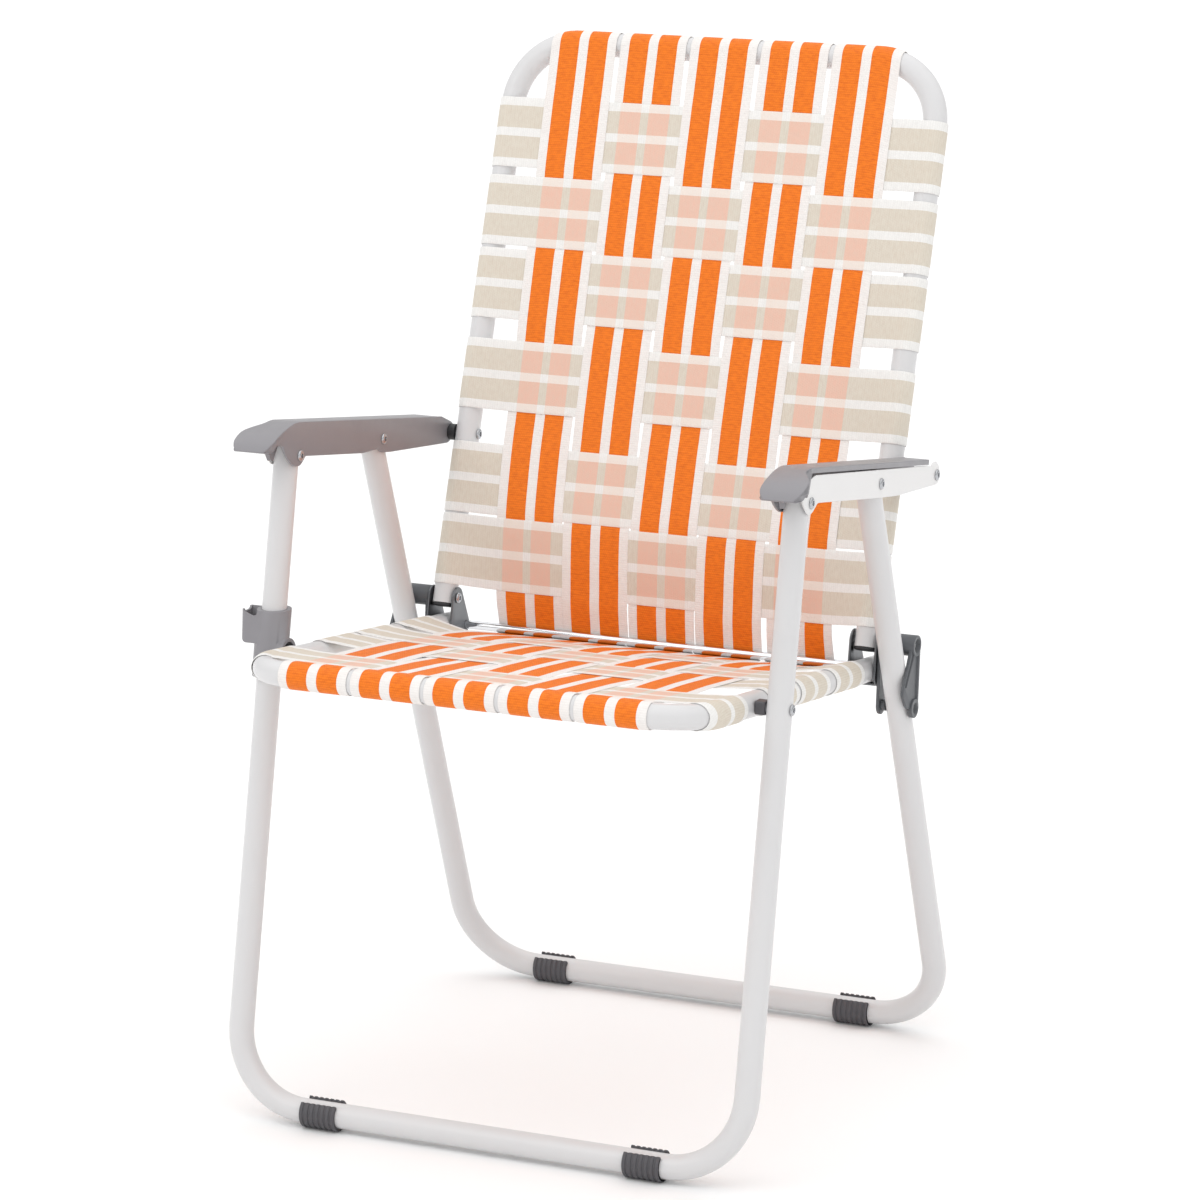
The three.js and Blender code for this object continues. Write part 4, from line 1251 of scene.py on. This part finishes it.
def holder_pocket(inner, outer):
    """The pocket beside the sleeve, about the leg's line, with its foot rounded and its rim cut."""
    foot = CLIP_HEIGHT - POCKET_HEIGHT
    front = -outer + FIT
    corner = side(-POCKET_REACH + POCKET_CORNER, front + POCKET_CORNER)
    pocket = upright("pocket", [
        side(0, CLIP_WALL - inner), side(CLIP_WALL - inner, POCKET_REAR), side(-POCKET_REACH, POCKET_REAR),
        *circle(corner, POCKET_CORNER, POCKET_CORNER_STEPS, math.pi, math.pi / 2),
        side(0, -outer + 2 * FIT),
    ], foot, CLIP_HEIGHT, hollow=[
        side(-inner + CUT_CLEAR, front + POCKET_WALL), side(-inner + CUT_CLEAR, POCKET_REAR - POCKET_WALL),
        side(-POCKET_REACH + POCKET_WALL, POCKET_REAR - POCKET_WALL),
        side(-POCKET_REACH + POCKET_WALL, front + POCKET_WALL),
    ])
    heel = side(-POCKET_REACH + POCKET_HEEL, foot + POCKET_HEEL)
    beyond = -POCKET_REACH - CUT_CLEAR
    heel_cut = upright("heel", [
        side(beyond, heel.y), side(beyond, foot - CUT_CLEAR), side(heel.x, foot - CUT_CLEAR),
        *circle(heel, POCKET_HEEL, HEEL_STEPS, math.pi * 1.5, -math.pi / 2),
    ], -POCKET_REAR - CUT_CLEAR, outer + CUT_CLEAR)
    front_dip = upright("dip", [side(x - POCKET_REACH, CLIP_HEIGHT + z) for x, z in FRONT_DIP],
                        outer - CLIP_WALL, outer + CUT_CLEAR)
    for cut in (heel_cut, front_dip):
        cut.transform(Matrix.Rotation(math.pi / 2, 4, "X"))
    side_dip = upright("dip", [side(y, CLIP_HEIGHT + z) for y, z in SIDE_DIP],
                       beyond, -POCKET_REACH + POCKET_WALL + FIT)
    side_dip.transform(Matrix(((0, 0, 1, 0), (1, 0, 0, 0), (0, 1, 0, 0), (0, 0, 0, 1))))
    pocket = combined(pocket, [heel_cut, front_dip, side_dip])
    for vertex in pocket.vertices:
        low = 1 - (vertex.co.z / MM - foot) / POCKET_HEIGHT
        out = -vertex.co.x / MM / POCKET_REACH
        forward = (POCKET_REAR - vertex.co.y / MM) / (POCKET_REAR + outer)
        vertex.co += Vector((out, forward, 0)) * POCKET_DRAFT * low * MM
    return pocket


def holder_clip():
    inner = TUBE_RADIUS + FIT
    outer = inner + CLIP_WALL
    centre = side(0, 0)
    sleeve = upright("clip", circle(centre, outer, CLIP_SIDES), 0, CLIP_HEIGHT)
    body = combined(bevelled(sleeve, CLIP_EDGE, 3), [holder_pocket(inner, outer)], "UNION")
    bore = upright("bore", circle(centre, inner, CLIP_SIDES), -CUT_RUN, CLIP_HEIGHT + CUT_RUN)
    body = combined(body, [bore])
    # Its ends are level although the leg leans
    for vertex in body.vertices:
        vertex.co.z += vertex.co.y * math.tan(FRONT_LEAN)
    foot = along(front_foot, front_up, (CLIP_BOTTOM - bar_height) / front_up.y)
    body.transform(Matrix.Translation(at(-LEG_HALF_WIDTH, foot)) @ Matrix.Rotation(-FRONT_LEAN, 4, "X"))

    # A boss round the seat's pivot, on the inner side
    leg = -LEG_HALF_WIDTH
    boss = drum("boss", seat_pivot, CLIP_BOSS, leg + CLIP_WALL, leg + outer + CLIP_BOSS_RISE)
    boss_bore = across("bore", [
        seat_pivot + front_up * rise * CLIP_HEIGHT + side(front_up.y, -front_up.x) * run * inner
        for run, rise in ((-1, -1), (1, -1), (1, 1), (-1, 1))
    ], leg, leg + inner)
    body = combined(body, [combined(boss, [boss_bore])], "UNION")
    room = drum("room", seat_pivot, CLIP_TURN_ROOM, leg + TUBE_RADIUS / 2, -SEAT_HALF_WIDTH)
    hole = drum("hole", seat_pivot, HEAD_RADIUS + FIT, leg, leg - POCKET_REACH)
    return smooth(combined(body, [room, hole]), MOULDED_ANGLE)


piece("clip", holder_clip(), "front_legs", "grey_plastic", replaced=["holder_clip"])

# Webbing
STRAP_THICKNESS = 0.9
STRAP_LIFT = 0.5
WEAVE = 0.56
ROW_STEP = 3.2
WRAP_GAP = 0.2
wrap_radius = TUBE_RADIUS + STRAP_THICKNESS / 2 + WRAP_GAP
strap_half = STRAP_WIDTH / 2
STRAPS = 5
# Lines along a strap, as shares of its breadth, and the share of its thickness at the outer ones
BREADTHS = [0, 0.008, 0.03, 0.1, 0.2, 0.3, 0.4, 0.5, 0.6, 0.7, 0.8, 0.9, 0.97, 0.992, 1]
EDGE_SHARES = {0: 0.35, 1: 0.8, 13: 0.8, 14: 0.35}


def cubic(start, leave, end, arrive, run, t):
    """A smooth step over a run between two numbers or places, with given slopes at its ends."""
    return (
        start * (2 * t ** 3 - 3 * t ** 2 + 1) + leave * run * (t ** 3 - 2 * t ** 2 + t)
        + end * (3 * t ** 2 - 2 * t ** 3) + arrive * run * (t ** 3 - t ** 2)
    )


def between(knots, value):
    """A smooth line through (place, height) knots."""
    if value <= knots[0][0]:
        return knots[0][1]
    if value >= knots[-1][0]:
        return knots[-1][1]
    last = len(knots) - 1
    index = max(place for place in range(last) if knots[place][0] <= value)
    (x0, y0), (x1, y1) = knots[index], knots[index + 1]

    def slope(place):
        low, high = max(0, place - 1), min(last, place + 1)
        return (knots[high][1] - knots[low][1]) / (knots[high][0] - knots[low][0])

    return cubic(y0, slope(index), y1, slope(index + 1), x1 - x0, (value - x0) / (x1 - x0))


def strap_mesh(name, rows, lengths):
    """A closed band from rows of places across the strap, thinner at its selvages."""
    count = len(rows[0])
    normals = []
    for row in range(len(rows)):
        before, after = rows[max(0, row - 1)], rows[min(len(rows) - 1, row + 1)]
        line = []
        for column in range(count):
            down = after[column] - before[column]
            over = rows[row][min(count - 1, column + 1)] - rows[row][max(0, column - 1)]
            line.append(over.cross(down).normalized())
        normals.append(line)
    bm = bmesh.new()
    layer = bm.loops.layers.uv.new("strap")
    levels, marks = [], {}
    for way in BOTH_WAYS:
        level = []
        for row, places in enumerate(rows):
            verts = []
            for column, place in enumerate(places):
                half = way * STRAP_THICKNESS / 2 * EDGE_SHARES.get(column, 1) * MM
                vert = bm.verts.new(place + normals[row][column] * half)
                marks[vert] = (lengths[row][column], BREADTHS[column])
                verts.append(vert)
            level.append(verts)
        levels.append(level)

    def face(*corners):
        made = bm.faces.new(corners)
        for loop in made.loops:
            loop[layer].uv = marks[loop.vert]

    low, high = levels
    for row in range(len(rows) - 1):
        for column in range(count - 1):
            nxt, right = row + 1, column + 1
            face(high[row][column], high[row][right], high[nxt][right], high[nxt][column])
            face(low[row][column], low[nxt][column], low[nxt][right], low[row][right])
        face(low[row][0], high[row][0], high[row + 1][0], low[row + 1][0])
        face(low[row][-1], low[row + 1][-1], high[row + 1][-1], high[row][-1])
    for column in range(count - 1):
        face(low[0][column], low[0][column + 1], high[0][column + 1], high[0][column])
        face(low[-1][column], high[-1][column], high[-1][column + 1], low[-1][column + 1])
    return to_mesh(bm, name, STRAP_ANGLE)


# The web climbs towards each side tube over a run that ends this far from the middle
SLOPE_END = 207
SLOPE_RUN = 64
SLOPE_CROWN = 0.08

# At the crease rod the straps crowd together a little, and the last stands apart
ROD_SHIFTS = [3.2, 1.2, 0, -1.0, 2.0]
SHIFT_RUN = 150


class Web:
    """One woven web: where its straps run and how deep it hangs between the side tubes.

    Its centres are those of the cross straps along the frame, its pitches those of the upright
    straps at the hinge and at the far end, and first_over turns the weave's order about.
    """

    def __init__(self, centres, reach, corner, sag, first_over, pitches, point):
        self.centres = centres
        self.reach = reach
        self.corner = corner
        self.sag = sag
        self.first_over = first_over
        self.pitches = pitches
        self.point = point

    def pitch(self, reach):
        share = min(1.0, max(0.0, reach / self.reach))
        return self.pitches[0] + (self.pitches[1] - self.pitches[0]) * share

    def height(self, x, reach):
        """The straps hang evenly in the middle and climb to the side tubes near the ends."""
        end = max(0.0, (abs(x) - (SLOPE_END - SLOPE_RUN)) / SLOPE_RUN)
        share = (1 - SLOPE_CROWN * (x / SEAT_HALF_WIDTH) ** 2) * (1 - min(1.0, end) ** 2)
        return wrap_radius - share * between(self.sag, reach)

    def over(self, strap, crossing):
        return 1 if (strap + crossing + self.first_over) % 2 == 0 else -1

    def up_weave(self, strap, reach):
        """How far an upright strap lies in front of the web's middle surface."""
        return weave_at([
            (centre - strap_half, centre + strap_half, self.over(strap, crossing))
            for crossing, centre in enumerate(self.centres)
        ], reach)

    def across_weave(self, crossing, x, reach):
        """The same for a cross strap, which goes under where the upright one goes over."""
        centres = [(strap - STRAPS // 2) * self.pitch(reach) for strap in range(STRAPS)]
        return weave_at([
            (centre - strap_half, centre + strap_half, -self.over(strap, crossing))
            for strap, centre in enumerate(centres)
        ], x)

    def corner_draw(self, run):
        """How far the frame's bend draws a wrap in, and how much it stretches it, after a run into it."""
        rise = math.sqrt(self.corner ** 2 - max(0.0, run) ** 2)
        return self.corner - rise, self.corner / rise

    def bar_draw(self, x):
        return self.corner_draw(abs(x) - (SEAT_HALF_WIDTH - self.corner))

    def side_draw(self, reach):
        return self.corner_draw(reach - (self.reach - self.corner))

    def column_x(self, strap, breadth, reach):
        shift = ROD_SHIFTS[strap] * (1 - eased(reach / SHIFT_RUN))
        return (strap - STRAPS // 2) * self.pitch(reach) + (breadth - 0.5) * STRAP_WIDTH + shift

    def on_bar(self, x, angle):
        """A place on the strap's turn over the bar, from the front face (0) round the top."""
        draw, stretch = self.bar_draw(x)
        reach = self.reach - draw + wrap_radius * stretch * math.sin(angle)
        return self.point(x, reach, wrap_radius * math.cos(angle))


WEAVE_EASE = 5


def weave_at(knots, place):
    """Over or under inside each crossing, and eased from one to the next in the gaps."""
    if place <= knots[0][0] + WEAVE_EASE:
        return WEAVE * knots[0][2] * eased((place - knots[0][0] + 3 * WEAVE_EASE) / (4 * WEAVE_EASE))
    if place >= knots[-1][1] - WEAVE_EASE:
        return WEAVE * knots[-1][2] * eased((knots[-1][1] + 3 * WEAVE_EASE - place) / (4 * WEAVE_EASE))
    for low, high in zip(knots, knots[1:]):
        start, end = low[1] - WEAVE_EASE, high[0] + WEAVE_EASE
        if place < start:
            return WEAVE * low[2]
        if place < end:
            return WEAVE * (low[2] + (high[2] - low[2]) * eased((place - start) / (end - start)))
    return WEAVE * knots[-1][2]


# Along the frame from its hinge end, and how deep the web hangs there
BACK_SAG = [(-33, 36), (11.85, 28), (44.6, 18.5), (77.3, 11.5), (112, 9.7), (300, 5.3), (BACK_RISE, 0)]
BACK_CENTRES = [44.6, 112, 209, 294, 362.5, 436]
BACK_PITCHES = (67.5, 70.2)
back_web = Web(
    BACK_CENTRES, BACK_RISE, BACK_CORNER, BACK_SAG, 1, BACK_PITCHES,
    lambda x, reach, height: at(x, on_back(reach, height)),
)
SEAT_SAG = [(0, 16), (44, 12.6), (83, 8.6), (164, 5.2), (347, 3.6), (SEAT_REACH, 3.2)]
SEAT_CENTRES = [83.4, 163.9, 233.3, 347]
SEAT_PITCHES = (67.5, 69.4)
seat_web = Web(
    SEAT_CENTRES, SEAT_REACH, SEAT_CORNER, SEAT_SAG, 0, SEAT_PITCHES,
    lambda x, reach, height: at(x, on_seat(reach, height)),
)

# How far a strap turns round a bar, and the steps of its turns
TOP_TAIL = math.radians(215)
BAR_STEPS = 22
ROD_STEPS = 10
TAUT_STEPS = 10
BACK_END = 13
SEAT_START = 44
BAR_APPROACH = 25
BAR_MEET = 22
rod_wrap = ROD_RADIUS + STRAP_LIFT + STRAP_THICKNESS / 2


def taut_line(start, leave, end, arrive, steps):
    """Places on a smooth line between two places with given directions, without its ends."""
    run = (end - start).length
    return [cubic(start, leave, end, arrive, run, step / steps) for step in range(1, steps)]


def up_column(strap, breadth):
    """One line of an upright strap, from behind the top bar to under the seat's front bar."""
    x_top = back_web.column_x(strap, breadth, BACK_RISE)
    places = []
    for step in range(BAR_STEPS + 1):
        places.append(back_web.on_bar(x_top, TOP_TAIL * (1 - step / BAR_STEPS)))
    draw = back_web.bar_draw(x_top)[0]
    rows = round((BACK_RISE - BACK_END) / ROW_STEP)
    for row in range(1, rows + 1):
        reach = BACK_RISE - draw + (BACK_END - BACK_RISE + draw) * row / rows
        x = back_web.column_x(strap, breadth, reach)
        height = back_web.height(x, reach) + back_web.up_weave(strap, reach)
        places.append(back_web.point(x, reach, height))

    # Taut to the back of the rod, round under it and on to the seat
    x_rod = back_web.column_x(strap, breadth, 0)
    last = places[-1]
    leaving = (places[-1] - places[-2]).normalized()
    from_rod = side((last.y - origin.y) / MM, (last.z - origin.z) / MM) - rod_centre
    arrive = math.atan2(from_rod.y, from_rod.x) - math.acos(rod_wrap / from_rod.length)
    seat_height = seat_web.height(x_rod, SEAT_START) + seat_web.up_weave(strap, SEAT_START)
    first_seat = on_seat(SEAT_START, seat_height) - rod_centre
    depart = math.atan2(first_seat.y, first_seat.x) + math.acos(rod_wrap / first_seat.length)
    if depart > arrive:
        depart -= FULL_TURN

    def on_rod(angle):
        return at(x_rod, rod_centre + side(math.cos(angle), math.sin(angle)) * rod_wrap)

    def rod_way(angle):
        return Vector((0, math.sin(angle), -math.cos(angle)))

    places += taut_line(last, leaving, on_rod(arrive), rod_way(arrive), TAUT_STEPS)
    for step in range(ROD_STEPS + 1):
        places.append(on_rod(arrive + (depart - arrive) * step / ROD_STEPS))
    seat_places = []
    x_front = seat_web.column_x(strap, breadth, SEAT_REACH)
    draw = seat_web.bar_draw(x_front)[0]
    rows = round((SEAT_REACH - SEAT_START) / ROW_STEP)
    for row in range(rows + 1):
        reach = SEAT_START + (SEAT_REACH - draw - SEAT_START) * row / rows
        x = seat_web.column_x(strap, breadth, reach)
        height = seat_web.height(x, reach) + seat_web.up_weave(strap, reach)
        meet = eased((reach - (SEAT_REACH - BAR_APPROACH)) / BAR_MEET)
        height += (wrap_radius - height) * meet
        seat_places.append(seat_web.point(x, reach, height))
    entering = (seat_places[1] - seat_places[0]).normalized()
    places += taut_line(places[-1], rod_way(depart), seat_places[0], entering, 2 * TAUT_STEPS)
    places += seat_places
    for step in range(1, BAR_STEPS + 1):
        places.append(seat_web.on_bar(x_front, TOP_TAIL * step / BAR_STEPS))
    return places


def lengths_along(columns):
    middle = columns[len(columns) // 2]
    total = 0.0
    lengths = [0.0]
    for before, after in zip(middle, middle[1:]):
        total += (after - before).length
        lengths.append(total)
    return lengths


# Where the continuous straps pass from the back to the seat
CREASE_BEHIND = 13
crease_start = at(0, on_back(BACK_END, -CREASE_BEHIND))

for strap in range(STRAPS):
    columns = [up_column(strap, breadth) for breadth in BREADTHS]
    lengths = lengths_along(columns)
    rows = [[column[row] for column in columns] for row in range(len(lengths))]
    marks = [[length] * len(BREADTHS) for length in lengths]
    made = piece(
        f"upright_strap.{strap + 1}", strap_mesh("strap", rows, marks), None, "orange_webbing",
        replaced=[f"back_strap_up_{strap + 1}", f"seat_strap_up_{strap + 1}"],
    )
    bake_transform(made)

SIDE_TAIL = math.radians(205)
SIDE_STEPS = 20


def across_column(web, crossing, breadth):
    """One line of a cross strap, from under one side tube over the web to under the other."""
    reach = web.centres[crossing] + (breadth - 0.5) * STRAP_WIDTH
    drawn, stretch = web.side_draw(reach)
    tube_x = SEAT_HALF_WIDTH - drawn
    pitch = web.pitch(reach)
    places, marks = [], []

    def turn(way, angle):
        x = way * (tube_x + wrap_radius * stretch * math.sin(angle))
        places.append(web.point(x, reach, wrap_radius * math.cos(angle)))
        marks.append(way * (tube_x + wrap_radius * angle) / pitch)

    for step in range(SIDE_STEPS):
        turn(-1, SIDE_TAIL * (1 - step / SIDE_STEPS))
    rows = round(2 * SEAT_HALF_WIDTH / ROW_STEP)
    for row in range(rows + 1):
        x = tube_x * (2 * row / rows - 1)
        height = web.height(x, reach) + web.across_weave(crossing, x, reach)
        inward = tube_x - abs(x)
        if inward < wrap_radius:
            round_tube = math.sqrt(wrap_radius ** 2 - min(inward, TUBE_RADIUS) ** 2)
            height = round_tube + (height - round_tube) * eased(inward / wrap_radius)
        places.append(web.point(x, reach, height))
        marks.append(x / pitch)
    for step in range(1, SIDE_STEPS + 1):
        turn(1, SIDE_TAIL * step / SIDE_STEPS)
    return places, marks


for label, web, carrier in (("back", back_web, "back_tube"), ("seat", seat_web, "seat_tube")):
    for crossing in range(len(web.centres)):
        columns = [across_column(web, crossing, breadth) for breadth in BREADTHS]
        count = len(columns[0][0])
        rows = [[places[row] for places, marks in columns] for row in range(count)]
        uvs = [[marks[row] for places, marks in columns] for row in range(count)]
        made = piece(
            f"{label}_cross_strap.{crossing + 1}", strap_mesh("strap", rows, uvs), label, "beige_webbing",
            replaced=[f"{label}_strap_across_{crossing + 1}"],
        )
        length = lengths_along([places for places, marks in columns])[-1]

bpy.data.objects.remove(head_object)

# A pale floor and soft studio light
FLOOR_HALF = 15
FLOOR_WHITE = (0.93, 0.93, 0.93)
floor_finish = Finish("floor", FLOOR_WHITE, 0.8)
floor_finish.set("Base Color", floor_finish.mix(floor_finish.noise(3, 2), FLOOR_WHITE, (0.95, 0.95, 0.95)))
floor_mesh = bpy.data.meshes.new("floor")
floor_corners = ((-1, -1), (1, -1), (1, 1), (-1, 1))
floor_mesh.from_pydata([(FLOOR_HALF * x, FLOOR_HALF * y, 0) for x, y in floor_corners], [], [(0, 1, 2, 3)])
floor_mesh.materials.append(floor_finish.material)
floor = bpy.data.objects.new("floor", floor_mesh)
bpy.context.scene.collection.objects.link(floor)

# The studio is brightest overhead and in front of the chair
SKY_TOP = 1.5
SKY_FRONT = 0.70
SKY_BACK = 0.54
SKY_EDGE = 0.3
world = bpy.data.worlds.new("studio")
bpy.context.scene.world = world
world.use_nodes = True
sky = Board(world.node_tree)
background = sky.nodes["Background"]
sky.feed(background.inputs["Color"], (1, 1, 1))
direction = sky.node("ShaderNodeTexCoord", {}, {}, "Generated")


def ranged(value, low, high, at_low, at_high):
    """A value from low to high, eased from at_low to at_high."""
    values = dict(enumerate((value, low, high, at_low, at_high)))
    return sky.node("ShaderNodeMapRange", {"interpolation_type": "SMOOTHSTEP"}, values)


around = ranged(direction.part("Y"), -0.8, 0.8, SKY_FRONT, SKY_BACK)
above = ranged(direction.part("Z"), 0.1, 0.9, 0, SKY_TOP - SKY_FRONT)
edge = ranged(direction.part("Z"), 0, 0.3, SKY_EDGE, 0)
sky.feed(background.inputs["Strength"], around + above + edge)
bpy.context.scene.view_settings.view_transform = "Standard"


LIGHT_AIM = Vector((0, 0, 0.45))


def softbox(name, place, size, power):
    data = bpy.data.lights.new(name, "AREA")
    data.shape = "RECTANGLE"
    data.size, data.size_y = size
    data.energy = power
    made = bpy.data.objects.new(name, data)
    bpy.context.scene.collection.objects.link(made)
    made.location = place
    aim = LIGHT_AIM - Vector(place)
    made.rotation_euler = aim.to_track_quat("-Z", "Y").to_euler()


softbox("key", (-1.6, -2.4, 2.6), (1.6, 1.6), 6)
softbox("fill", (2.6, -1.6, 1.8), (2.0, 2.0), 2)
softbox("top", (0.2, 0.6, 3.2), (2.4, 2.4), 3)
